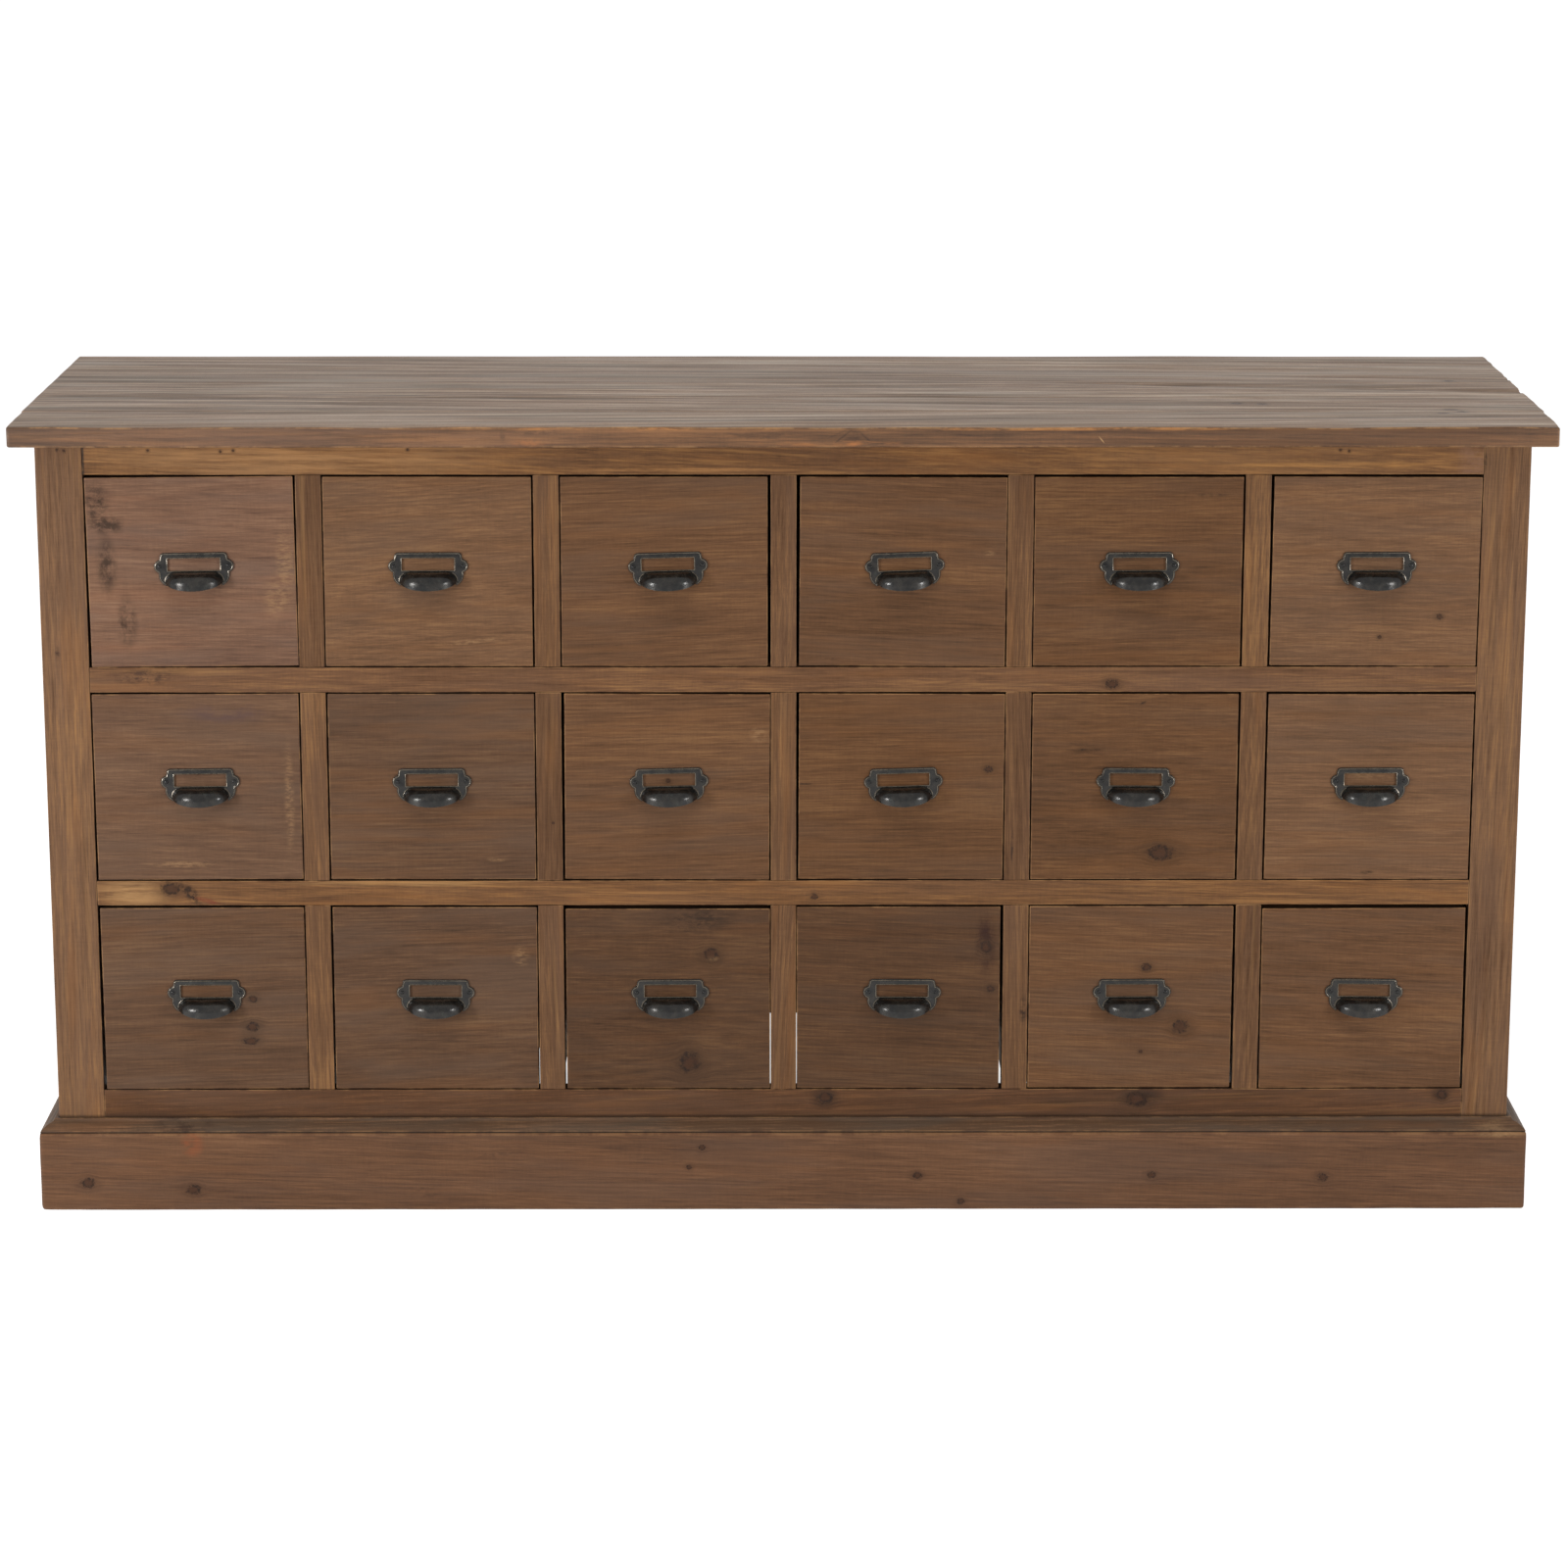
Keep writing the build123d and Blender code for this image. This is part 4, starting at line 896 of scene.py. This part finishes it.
frontStains = {
    "r1c1": [
        {"at": (-0.714, 0.765), "wide": 0.02, "high": 0.03, "grit": (90, 90, 150), **smudge},
        {"at": (-0.703, 0.742), "wide": 0.026, "high": 0.014, "grit": (90, 90, 150), **smudge},
        {"at": (-0.704, 0.70), "wide": 0.014, "high": 0.04, "grit": (90, 90, 60), **smudge},
        {"at": (-0.6846, 0.64), "wide": 0.014, "high": 0.035, "grit": (90, 90, 60), **smudge},
        {"at": (-0.6, 0.676), "wide": 0.07, "high": 0.0018, "strength": 0.6, "tone": "3A271C", "from": 0.35},
        {"at": (-0.518, 0.7), "wide": 0.014, "high": 0.06, **scuff},
        {"at": (-0.53, 0.665), "wide": 0.016, "high": 0.03, **scuff},
    ],
    "r1c2": [
        {"at": (-0.3273, 0.6183), "wide": 0.05, "high": 0.004, "lean": 6, **scuff},
        {"at": (-0.21, 0.6183), "wide": 0.05, "high": 0.005, **scuff},
    ],
    "r1c4": [
        {"at": (0.2144, 0.7116), "wide": 0.008, "high": 0.004, **scuff},
        {"at": (0.0515, 0.6001), "wide": 0.012, "high": 0.0014, **smudge},
    ],
    "r1c5": [{"at": (0.4447, 0.7735), "wide": 0.02, "high": 0.003, **smudge}],
    "r2c1": [
        {
            "at": (-0.5852, 0.5429), "wide": 0.06, "high": 0.016,
            "strength": 0.7, "tone": "4E3A38", "grit": (20, 20, 60), "from": 0.35,
        },
        {"at": (-0.6312, 0.378), "wide": 0.05, "high": 0.005, **scuff},
        {"at": (-0.52, 0.45), "wide": 0.007, "high": 0.08, **scuff},
    ],
    "r2c2": [
        {"at": (-0.2782, 0.4632), "wide": 0.02, "high": 0.0022, "strength": 0.8, "tone": "4A2A1A", "from": 0.3},
        {"at": (-0.3031, 0.3833), "wide": 0.012, "high": 0.004, **scuff},
    ],
    "r2c3": [{"at": (-0.0254, 0.5181), "wide": 0.014, "high": 0.012, **scuff}],
    "r2c4": [{"at": (0.023, 0.4651), "wide": 0.012, "high": 0.0015, **smudge}],
    "r2c5": [
        {"at": (0.3774, 0.5525), "wide": 0.006, "high": 0.002, "lean": 30, **smudge},
        {"at": (0.3176, 0.5019), "wide": 0.03, "high": 0.002, **smudge},
    ],
    "r2c6": [
        {"at": (0.6172, 0.3684), "wide": 0.01, "high": 0.003, **smudge},
        {"at": (0.6193, 0.4751), "wide": 0.04, "high": 0.008, **scuff},
    ],
    "r3c2": [{"at": (-0.2787, 0.277), "wide": 0.012, "high": 0.016, **scuff}],
    "r3c3": [
        {"at": (-0.0905, 0.317), "wide": 0.05, "high": 0.02, "lean": 6, **smudge},
        {"at": (-0.1002, 0.1591), "wide": 0.0105, "high": 0.0105, "strength": 0.6, "tone": "34251A", "from": 0.1},
        {"at": (-0.0757, 0.2744), "wide": 0.008, "high": 0.004, "strength": 0.8, "tone": "B58D62", "from": 0.3},
    ],
    "r3c4": [{
        "at": (0.2147, 0.291), "wide": 0.014, "high": 0.045,
        "strength": 0.95, "tone": "2A130D", "grit": (70, 70, 45), "from": 0.3,
    }],
}
# how each front sits: sideways and up in millimetres and lean in thousandths,
# then how many millimetres it was planed in width and height
frontSeats = {
    "r1c1": (0.38, -0.5, -9, 0.45, 0), "r1c2": (-0.38, -0.38, 1, 0, 0), "r1c3": (-0.85, -0.5, 0, 1.3, 0),
    "r1c4": (1.1, -0.75, 5, 1.2, 0.5), "r1c5": (-0.5, -0.75, 0.5, 0, 0.5), "r1c6": (0.75, -0.75, 4, 0.5, 0.5),
    "r2c1": (0.2, 0, -4, 0, 0), "r2c2": (0.15, 0, 0.5, 0, 0), "r2c3": (0.85, -0.25, 5, 0.7, 0),
    "r2c4": (0.75, -0.25, 4, 0.5, 0), "r2c5": (-0.38, -0.5, 0.5, 0.25, 0), "r2c6": (0.25, -0.75, 2, 0.5, 0.5),
    "r3c1": (0.88, -0.75, -4, 0.75, 0.5), "r3c2": (0.38, -0.5, 1, 0.25, 0), "r3c3": (0.65, -1.5, 0, 0, 2),
    "r3c4": (-1.1, -0.5, 0, 0.7, 0), "r3c5": (-0.75, 0, 0, 0.5, 0), "r3c6": (-0.5, -1.5, -3, 1, 2),
}


def drawerBoards(x, zFloor, seed, frontTone, narrower, lower):
    half = (chest["openingWidth"] - narrower) / 2 - drawer["gap"]
    foot = drawer["gap"] + lower / 2
    yFrontBack = yFront + drawer["frontThick"]
    yHoused = yFrontBack - drawer["housing"]
    inner = drawer["boxHalf"] - drawer["boxSide"]
    parts = [board(
        (x - half, yFront, zFloor + foot), (x + half, yFrontBack, zFloor + chest["openingHeight"] - foot), "x", seed,
        toneShift=frontTone, **frontWear)]
    # the box's sides, and the guides under its bottom
    guideTo = drawer["guideFrom"] + drawer["guideWide"]
    for side in (-1, 1):
        for near, far, upTo, apart in (
            (inner, drawer["boxHalf"], drawer["topAt"], 20), (drawer["guideFrom"], guideTo, drawer["floorAt"], 50),
        ):
            xPair = sorted((x + side * near, x + side * far))
            low, high = (xPair[0], yFrontBack, zFloor + drawer["lift"]), (xPair[1], drawer["end"], zFloor + upTo)
            parts.append(board(low, high, "y", seed + apart * side, **boxWear))
    # its back, then its bottom, which is housed in the front
    zFrom = zFloor + drawer["floorAt"]
    zBottom = zFrom + drawer["bottom"]
    low = (x - inner, drawer["end"] - drawer["boxBack"], zBottom)
    high = (x + inner, drawer["end"], zFloor + drawer["backTop"])
    parts.append(board(low, high, "x", seed + 3, **boxWear))
    low, high = (x - inner, yHoused, zFrom), (x + inner, drawer["end"] - hair, zBottom)
    parts.append(board(low, high, "y", seed + 5, **boxWear))
    return parts


for row, zFloor in enumerate(chest["floors"], start=1):
    for column, x in enumerate(xColumns, start=1):
        place = f"r{row}c{column}"
        order = (row - 1) * chest["columns"] + column - 1
        sideways, upward, lean, narrower, lower = (value / 1000 for value in frontSeats[place])
        frontTone = ((order * 5) % 7 - 3) / 200
        parts = drawerBoards(x, zFloor, seeds["drawers"] + order * 9, frontTone, narrower, lower)
        face = parts[0]["points"]
        fromMiddle = face - np.array([x, 0, zFloor + chest["openingHeight"] / 2])
        face[:, 0] += sideways + lean * fromMiddle[:, 2]
        face[:, 2] += upward - lean * fromMiddle[:, 0]
        look, knots, stains = frontLooks[frontTones[order]], frontKnots.get(place, ()), frontStains.get(place, ())
        wood = makeWood("frontWood" + place.upper(), look, knots, stains)
        makePiece("drawer" + place.upper(), parts, [wood, boxWood], "drawer_" + place, "drawer_" + place)
print("drawers done")


# Pulls: a cast plate with a label window, a hooded cup below it, and two pins
pull = {
    "windowWide": 0.055, "windowHigh": 0.014, "topBar": 0.0055, "sideBar": 0.0075,
    "earReach": 0.0065, "earDrop": 0.0142, "earHalf": 0.0067, "corner": 0.004, "plate": 0.0016, "plateBevel": 0.0003,
    "bead": 0.0006, "border": 0.0006, "wireBend": 0.0008, "hoodHalf": 0.0305, "hoodDepth": 0.024, "hoodTop": -0.0205,
    "hoodHeight": 0.0163, "rimRise": 0.0074, "hoodRound": 0.0105, "wall": 0.0018, "lip": 0.0003, "ridge": 0.0008,
    "top": 0.1225, "pinHead": 0.0021, "pinRise": 0.0012, "pinOut": 0.0008, "pivot": -0.017, "sharp": math.radians(42),
}
# how pale each part of the casting is painted, for rubbed metal and, on the ridges, for a painted highlight; the pins
# are below 0, which keeps them black
pullWearAndHighlight = {"plate": 0.15, "lip": 0.55, "ridge": 0.75, "pin": -1.0}
ironLook = {
    "dark": "141312", "pale": "292622", "patina": "3A403B", "patinaShare": 0.25, "bright": "938571", "brightShare": 0.4,
    "pin": "0D0B0A", "metallic": 0.4, "specular": 0.5, "roughness": (0.17, 0.3), "bump": 0.4, "relief": 0.0003,
}
# how far each column's pulls stand right of the middle of the front
pullShifts = (0.003, 0, 0.003, 0.003, 0.001, 0.0015)
# lean of each pull in degrees, as it was pinned on
pullLeans = (1.0, 0.3, 1.7, 2.0, 0.4, 0.2, 0.7, 0.5, 1.4, 1.7, -0.3, 0.3, 0.3, -0.2, 0.4, -0.2, 0.2, -0.5)


def makeIron():
    material, tree, shader = newMaterial("blackenedIron")
    place = tree.nodes.new("ShaderNodeTexCoord").outputs["Object"]
    rubbedAndHighlight = attribute(tree, "edgeWearAndHighlight", "Fac")
    cast = speckle(tree, place, (420, 420, 420), 4, 0.6)
    cloud = speckle(tree, place, (120, 120, 120), 4, 0.6, (3, 1, 0))
    colour = mixTone(tree, fade(tree, cloud, 0.35, 0.7), tone(ironLook["dark"]), tone(ironLook["pale"]))
    bloom = fade(tree, speckle(tree, place, (140, 140, 140), 5, 0.65, (0, 4, 2)), 0.55, 0.7)
    patina = calc(tree, "MULTIPLY", bloom, ironLook["patinaShare"])
    colour = mixTone(tree, patina, colour, tone(ironLook["patina"]))
    # pale on the lips, ridges and wire crests: rubbed metal and partly a painted highlight
    bright = calc(tree, "MULTIPLY", fade(tree, rubbedAndHighlight, 0.35, 0.9), fade(tree, cast, 0.3, 0.55, 0.35, 1))
    colour = mixTone(tree, calc(tree, "MULTIPLY", bright, ironLook["brightShare"]), colour, tone(ironLook["bright"]))
    colour = mixTone(tree, fade(tree, rubbedAndHighlight, -1, 0, 0.8, 0), colour, tone(ironLook["pin"]))
    tree.links.new(colour, shader.inputs["Base Color"])
    shader.inputs["Metallic"].default_value = ironLook["metallic"]
    shader.inputs["Specular IOR Level"].default_value = ironLook["specular"]
    tree.links.new(fade(tree, cloud, 0.3, 0.7, *ironLook["roughness"]), shader.inputs["Roughness"])
    addBump(tree, shader, cast, ironLook["bump"], ironLook["relief"])
    return material


def arcPoints(centre, radius, start, end, count):
    angles = [math.radians(start + (end - start) * i / (count - 1)) for i in range(count)]
    return [(centre[0] + radius * math.cos(a), centre[1] + radius * math.sin(a)) for a in angles]


def throughThree(first, middle, last, count):  # the arc through three points
    (ax, ay), (bx, by), (cx, cy) = first, middle, last
    d = 2 * (ax * (by - cy) + bx * (cy - ay) + cx * (ay - by))
    aa, bb, cc = ax * ax + ay * ay, bx * bx + by * by, cx * cx + cy * cy
    ux = (aa * (by - cy) + bb * (cy - ay) + cc * (ay - by)) / d
    uy = (aa * (cx - bx) + bb * (ax - cx) + cc * (bx - ax)) / d
    radius = math.hypot(ax - ux, ay - uy)
    start, mid, end = (math.atan2(y - uy, x - ux) for x, y in (first, middle, last))
    while mid > start:
        mid -= math.tau
    while end > mid:
        end -= math.tau
    turns = [start + (end - start) * i / (count - 1) for i in range(count)]
    return [(ux + radius * math.cos(a), uy + radius * math.sin(a)) for a in turns]


def plateOutline():
    half = pull["windowWide"] / 2 + pull["sideBar"]
    tip = half + pull["earReach"]
    drop, ear = pull["earDrop"], pull["earHalf"]
    earTop, earFoot = (half + 0.0006, -drop + ear), (half + 0.0016, -drop - ear)
    cheek = (pull["hoodHalf"] - pull["wall"] / 2, pull["hoodTop"] - pull["hoodHeight"] + 0.002)
    right = [(0, 0), (half / 2, 0)]
    right += arcPoints((half - pull["corner"], -pull["corner"]), pull["corner"], 90, 0, 6)
    right += throughThree(earTop, (tip, -drop), earFoot, 12)
    swell = ((earFoot[0] + cheek[0]) / 2 + 0.0016, (earFoot[1] + cheek[1]) / 2 - 0.0026)
    right += throughThree(earFoot, swell, cheek, 8)[1:]
    inner = pull["hoodHalf"] - pull["wall"]  # open behind the cup
    right += [(inner, cheek[1]), (inner - 0.0006, pull["hoodTop"] - 0.008), (inner - 0.008, pull["hoodTop"] - 0.002)]
    left = [(-x, z) for x, z in reversed(right[1:])]
    return right + left


def inset(points, distance):
    result = []
    total = len(points)
    for i in range(total):
        before, here, after = (Vector(points[(i + k) % total]) for k in (-1, 0, 1))
        along = ((here - before).normalized() + (after - here).normalized()).normalized()
        result.append((here.x + along.y * distance, here.y - along.x * distance))
    return result


def curveMesh(outlines, flat, thick, bevel, closed=True):
    # outlines in the plate's plane; flat ones are filled, the rest are round wires
    curve = bpy.data.curves.new("outline", "CURVE")
    curve.dimensions = "2D" if flat else "3D"
    curve.fill_mode = "BOTH" if flat else "FULL"
    curve.extrude = thick
    curve.bevel_depth = bevel
    curve.bevel_resolution = 2
    for outline in outlines:
        spline = curve.splines.new("POLY")
        spline.points.add(len(outline) - 1)
        for point, (x, z) in zip(spline.points, outline):
            point.co = (x, z, 0, 1)
        spline.use_cyclic_u = closed
    curve.use_fill_caps = not closed
    holder = bpy.data.objects.new("outline", curve)
    mesh = bpy.data.meshes.new_from_object(holder)
    bpy.data.objects.remove(holder)
    bpy.data.curves.remove(curve)
    return mesh


def addFlatMesh(shape, mesh, wearAndHighlightLayer, wear, forward):
    # the mesh lies in x and y; it stands up in x and z, its face forward by that much
    start = len(shape.verts)
    shape.from_mesh(mesh)
    shape.verts.ensure_lookup_table()
    for vert in shape.verts[start:]:
        x, z, out = vert.co
        vert.co = (x, -forward - out, z)
        # the pale share for rubbed metal and painted highlight
        vert[wearAndHighlightLayer] = wear(out) if callable(wear) else wear
    bpy.data.meshes.remove(mesh)


def hoodLine(angle, shrink, count=26):
    # the cup's section in one direction, from the rim up its wall and over the top to the plate
    low, top = pull["hoodTop"] - pull["hoodHeight"], pull["hoodTop"] - shrink
    ball = pull["hoodRound"] - shrink
    path = [(shrink, low + (top - ball - low) * t, 1.0) for t in (0, 0.25, 0.5, 0.75, 1)]
    bends = [math.radians(v) for v in range(9, 91, 9)]
    path += [(shrink + ball * (1 - math.cos(a)), top - ball + ball * math.sin(a), 1.0) for a in bends]
    path += [(shrink + ball, top, keep) for keep in (0.8, 0.6, 0.4, 0.2, 0.0)]
    across, forward = -math.cos(angle), -math.sin(angle)
    points = np.array([
        ((pull["hoodHalf"] - drop) * across, (pull["hoodDepth"] - drop) * forward * keep, z) for drop, z, keep in path])
    # the rim's plane rises from the front of the cup to the plate
    above = points[:, 2] - (low + pull["rimRise"] * (1 + points[:, 1] / pull["hoodDepth"]))
    first = int(np.argmax(above > 1e-9))
    if first:
        t = above[first - 1] / (above[first - 1] - above[first])
        points = np.concatenate([[points[first - 1] + t * (points[first] - points[first - 1])], points[first:]])
    reach = np.concatenate([[0], np.cumsum(np.linalg.norm(np.diff(points, axis=0), axis=1))])
    stops = reach[-1] * np.linspace(0, 1, count) ** 1.15
    return np.stack([np.interp(stops, reach, points[:, i]) for i in range(3)], axis=1)


def addHood(shape, wearAndHighlightLayer, count=44):
    grid = []
    for i in range(count + 1):
        angle = math.pi * i / count
        outer, inner = hoodLine(angle, 0.0), hoodLine(angle, pull["wall"])
        lip = [outer[0] * 0.75 + inner[0] * 0.25, outer[0] * 0.25 + inner[0] * 0.75]
        dip = np.array([0, 0, pull["lip"]])
        places = [lip[1] - dip, lip[0] - dip, *outer, *inner[::-1]]
        line = []
        for k, spot in enumerate(places):
            vert = shape.verts.new(spot)
            vert[wearAndHighlightLayer] = pullWearAndHighlight["lip"] if k < 3 else 0.0
            line.append(vert)
        grid.append(line)
    for here, following in zip(grid, grid[1:]):
        for k in range(len(here)):
            after = (k + 1) % len(here)
            shape.faces.new((here[k], following[k], following[after], here[after]))
    for end in (grid[0], grid[-1]):
        shape.faces.new(end)


def addPin(shape, wearAndHighlightLayer, x, z, forward, count=20):
    radius = pull["pinHead"]
    profile = [(0.55, -0.0006), (1.0, 0.0), (1.0, 0.25), (0.93, 0.55), (0.72, 0.8), (0.4, 0.95)]
    rings = []
    for across, out in profile:
        ring = []
        for i in range(count):
            a = math.tau * i / count
            y = -forward - out * pull["pinRise"]
            vert = shape.verts.new((x + radius * across * math.cos(a), y, z + radius * across * math.sin(a)))
            vert[wearAndHighlightLayer] = pullWearAndHighlight["pin"]
            ring.append(vert)
        rings.append(ring)
    for near, far in zip(rings, rings[1:]):
        for i in range(count):
            k = (i + 1) % count
            shape.faces.new((near[i], near[k], far[k], far[i]))
    shape.faces.new(rings[-1])
    shape.faces.new(rings[0][::-1])


def pullMesh():
    shape = bmesh.new()
    wearAndHighlightLayer = shape.verts.layers.float.new("edgeWearAndHighlight")
    outline = plateOutline()
    wide, zTop, zFoot = pull["windowWide"] / 2, -pull["topBar"], -pull["topBar"] - pull["windowHigh"]
    window = [(-wide, zTop), (-wide, zFoot), (wide, zFoot), (wide, zTop)]
    bevel = pull["plateBevel"]
    plate = curveMesh([inset(outline, bevel), inset(window[::-1], -bevel)], True, pull["plate"] / 2 - bevel, bevel)
    addFlatMesh(shape, plate, wearAndHighlightLayer, pullWearAndHighlight["plate"], pull["plate"] / 2)
    rim = inset(outline, pull["bead"] + pull["border"])
    frameLine = [(x * 1.012, z) for x, z in window]
    rounded = []
    for i, corner in enumerate(frameLine):  # short bends where the wire turns
        before, after = Vector(frameLine[i - 1]), Vector(frameLine[(i + 1) % 4])
        here = Vector(corner)
        for near in (before, after):
            rounded.append(tuple(here + (near - here).normalized() * pull["wireBend"]))
    for wire in (rim, rounded):  # pale along its crest: rubbed metal, and partly a painted highlight
        mesh = curveMesh([wire], False, 0, pull["bead"])
        addFlatMesh(shape, mesh, wearAndHighlightLayer, lambda out: max(0.0, out / pull["bead"]), pull["plate"])
    corner = (pull["hoodHalf"] - pull["hoodRound"], pull["hoodTop"] - pull["hoodRound"])
    for side in (-1, 1):  # the short ridge where each end of the cup leaves the plate; its pale tone is a painted highlight
        ridge = [(side * x, z) for x, z in arcPoints(corner, pull["hoodRound"], 4, 62, 9)]
        mesh = curveMesh([ridge], False, 0, pull["ridge"], closed=False)
        addFlatMesh(shape, mesh, wearAndHighlightLayer, pullWearAndHighlight["ridge"], pull["plate"])
    addHood(shape, wearAndHighlightLayer)
    for side in (-1, 1):
        addPin(shape, wearAndHighlightLayer, side * (wide + pull["sideBar"] + pull["pinOut"]), -pull["earDrop"], pull["plate"])
    bmesh.ops.remove_doubles(shape, verts=shape.verts, dist=weld)
    bmesh.ops.recalc_face_normals(shape, faces=shape.faces)
    mesh = bpy.data.meshes.new("pull")
    shape.to_mesh(mesh)
    shape.free()
    mesh.polygons.foreach_set("use_smooth", [True] * len(mesh.polygons))
    mesh.set_sharp_from_angle(angle=pull["sharp"])
    return mesh


iron = makeIron()
patternPull = pullMesh()
pivot = Vector((0, 0, pull["pivot"]))
for row, zFloor in enumerate(chest["floors"], start=1):
    for column, x in enumerate(xColumns, start=1):
        place = f"r{row}c{column}"
        mesh = patternPull.copy()
        mesh.name = "pull" + place.upper()
        mesh.materials.append(iron)
        lean = math.radians(pullLeans[(row - 1) * chest["columns"] + column - 1])
        cosine, sine = math.cos(lean), math.sin(lean)
        middle = Vector((x + pullShifts[column - 1], yFront, zFloor + pull["top"]))
        for vert in mesh.vertices:
            about = vert.co - pivot
            turned = Vector((about.x * cosine - about.z * sine, about.y, about.x * sine + about.z * cosine))
            vert.co = turned + pivot + middle
        piece = bpy.data.objects.new(mesh.name, mesh)
        scene.collection.objects.link(piece)
        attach(piece, "drawer_" + place)
        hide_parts("pull_" + place)
bpy.data.meshes.remove(patternPull)
print("pulls done")


# Carried-over pieces out of sight: raw pine inside, and plain steel
insideLook = {**boxLook, "mid": "8A6A47", "wear": 0.0, "warming": 0.2}
insideGrain = {
    "back_panel": "z", "dividers": "z", "drawer_runners": "y", "drawer_stops": "y", "glue_blocks": "x",
    "rear_rails": "x",
}
insideWoods = {axis: makeWood(f"insideWood{axis.upper()}", insideLook, source=axis) for axis in "xyz"}
steelLook = {"dark": "6B6862", "pale": "8C8A85", "roughness": (0.35, 0.6)}
steelNodes = ("back_nails", "top_screws")


def makeSteel():
    material, tree, shader = newMaterial("dullSteel")
    place = tree.nodes.new("ShaderNodeTexCoord").outputs["Object"]
    cloud = speckle(tree, place, (600, 600, 600), 4, 0.6)
    colour = mixTone(tree, fade(tree, cloud, 0.35, 0.65), tone(steelLook["dark"]), tone(steelLook["pale"]))
    tree.links.new(colour, shader.inputs["Base Color"])
    tree.links.new(fade(tree, cloud, 0.3, 0.7, *steelLook["roughness"]), shader.inputs["Roughness"])
    shader.inputs["Metallic"].default_value = 1
    return material


steel = makeSteel()
for node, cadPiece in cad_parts.items():
    if cadPiece.hide_render:
        continue
    material = steel if node in steelNodes else insideWoods[insideGrain[node]]
    cadPiece.data.materials.clear()
    cadPiece.data.materials.append(material)
print("carried-over pieces done")


# Studio: pale floor, two tall soft boxes at the sides, one overhead, camera as in the photograph
studio = {
    "ambient": 0.34, "floorX": (-14, 14), "floorY": (-9, 32), "floorColour": (0.8, 0.8, 0.8, 1), "floorRough": 0.9,
    "floorLift": 0.74,
}
lamps = {
    "leftBox": {"at": (-2.3, -1.7, 0.75), "size": (0.4, 0.6), "watts": 36, "inGloss": True},
    "rightBox": {"at": (2.3, -1.7, 0.75), "size": (0.4, 0.6), "watts": 24, "inGloss": True},
    "overhead": {"at": (-0.2, -1.4, 3.2), "size": (2.6, 1.6), "watts": 46, "inGloss": False},
}
aimPoint = Vector((0, -0.1, 0.45))
view = {
    "lens": 100.54, "at": (-0.0183, -4.7013, 1.5695), "down": 12.662, "right": 0.238, "roll": -0.014, "shift": -0.0584,
}


def seenDirectly(tree):  # 1 for the camera and for what gloss and glass show, 0 for the light on the object
    rays = tree.nodes.new("ShaderNodeLightPath")
    mirrored = calc(tree, "MAXIMUM", rays.outputs["Is Glossy Ray"], rays.outputs["Is Transmission Ray"])
    return calc(tree, "MAXIMUM", rays.outputs["Is Camera Ray"], mirrored)


(xLeft, xRight), (yNear, yFar) = studio["floorX"], studio["floorY"]
floorMesh = bpy.data.meshes.new("floor")
floorMesh.from_pydata([(xLeft, yNear, 0), (xRight, yNear, 0), (xRight, yFar, 0), (xLeft, yFar, 0)], [], [(0, 1, 2, 3)])
floor = bpy.data.objects.new("floor", floorMesh)
scene.collection.objects.link(floor)
floorMaterial, tree, shader = newMaterial("paleFloor")
shader.inputs["Base Color"].default_value = studio["floorColour"]
shader.inputs["Roughness"].default_value = studio["floorRough"]
glowing = tree.nodes.new("ShaderNodeEmission")
tree.links.new(calc(tree, "MULTIPLY", seenDirectly(tree), studio["floorLift"]), glowing.inputs["Strength"])
both = tree.nodes.new("ShaderNodeAddShader")
output = next(node for node in tree.nodes if node.type == "OUTPUT_MATERIAL")
tree.links.new(shader.outputs[0], both.inputs[0])
tree.links.new(glowing.outputs[0], both.inputs[1])
tree.links.new(both.outputs[0], output.inputs[0])
floorMesh.materials.append(floorMaterial)

world = bpy.data.worlds.new("studio")
scene.world = world
world.use_nodes = True
tree = world.node_tree
background = next(node for node in tree.nodes if node.type == "BACKGROUND")
background.inputs["Color"].default_value = (1, 1, 1, 1)
extra = calc(tree, "MULTIPLY", seenDirectly(tree), 1 - studio["ambient"])
tree.links.new(calc(tree, "ADD", extra, studio["ambient"]), background.inputs["Strength"])

for name, lamp in lamps.items():
    light = bpy.data.lights.new(name, "AREA")
    light.shape = "RECTANGLE"
    light.size, light.size_y = lamp["size"]
    light.energy = lamp["watts"]
    holder = bpy.data.objects.new(name, light)
    scene.collection.objects.link(holder)
    holder.location = lamp["at"]
    holder.visible_glossy = lamp["inGloss"]  # only the side boxes show as highlights in the pulls
    holder.rotation_euler = (aimPoint - holder.location).to_track_quat("-Z", "Y").to_euler()

cameraData = bpy.data.cameras.new("camera")
cameraData.lens = view["lens"]
cameraData.shift_y = view["shift"]
camera = bpy.data.objects.new("camera", cameraData)
camera.location = view["at"]
camera.rotation_euler = (math.radians(90 - view["down"]), math.radians(view["roll"]), math.radians(-view["right"]))
scene.collection.objects.link(camera)
scene.camera = camera
scene.view_settings.view_transform = "Standard"
print("studio done")
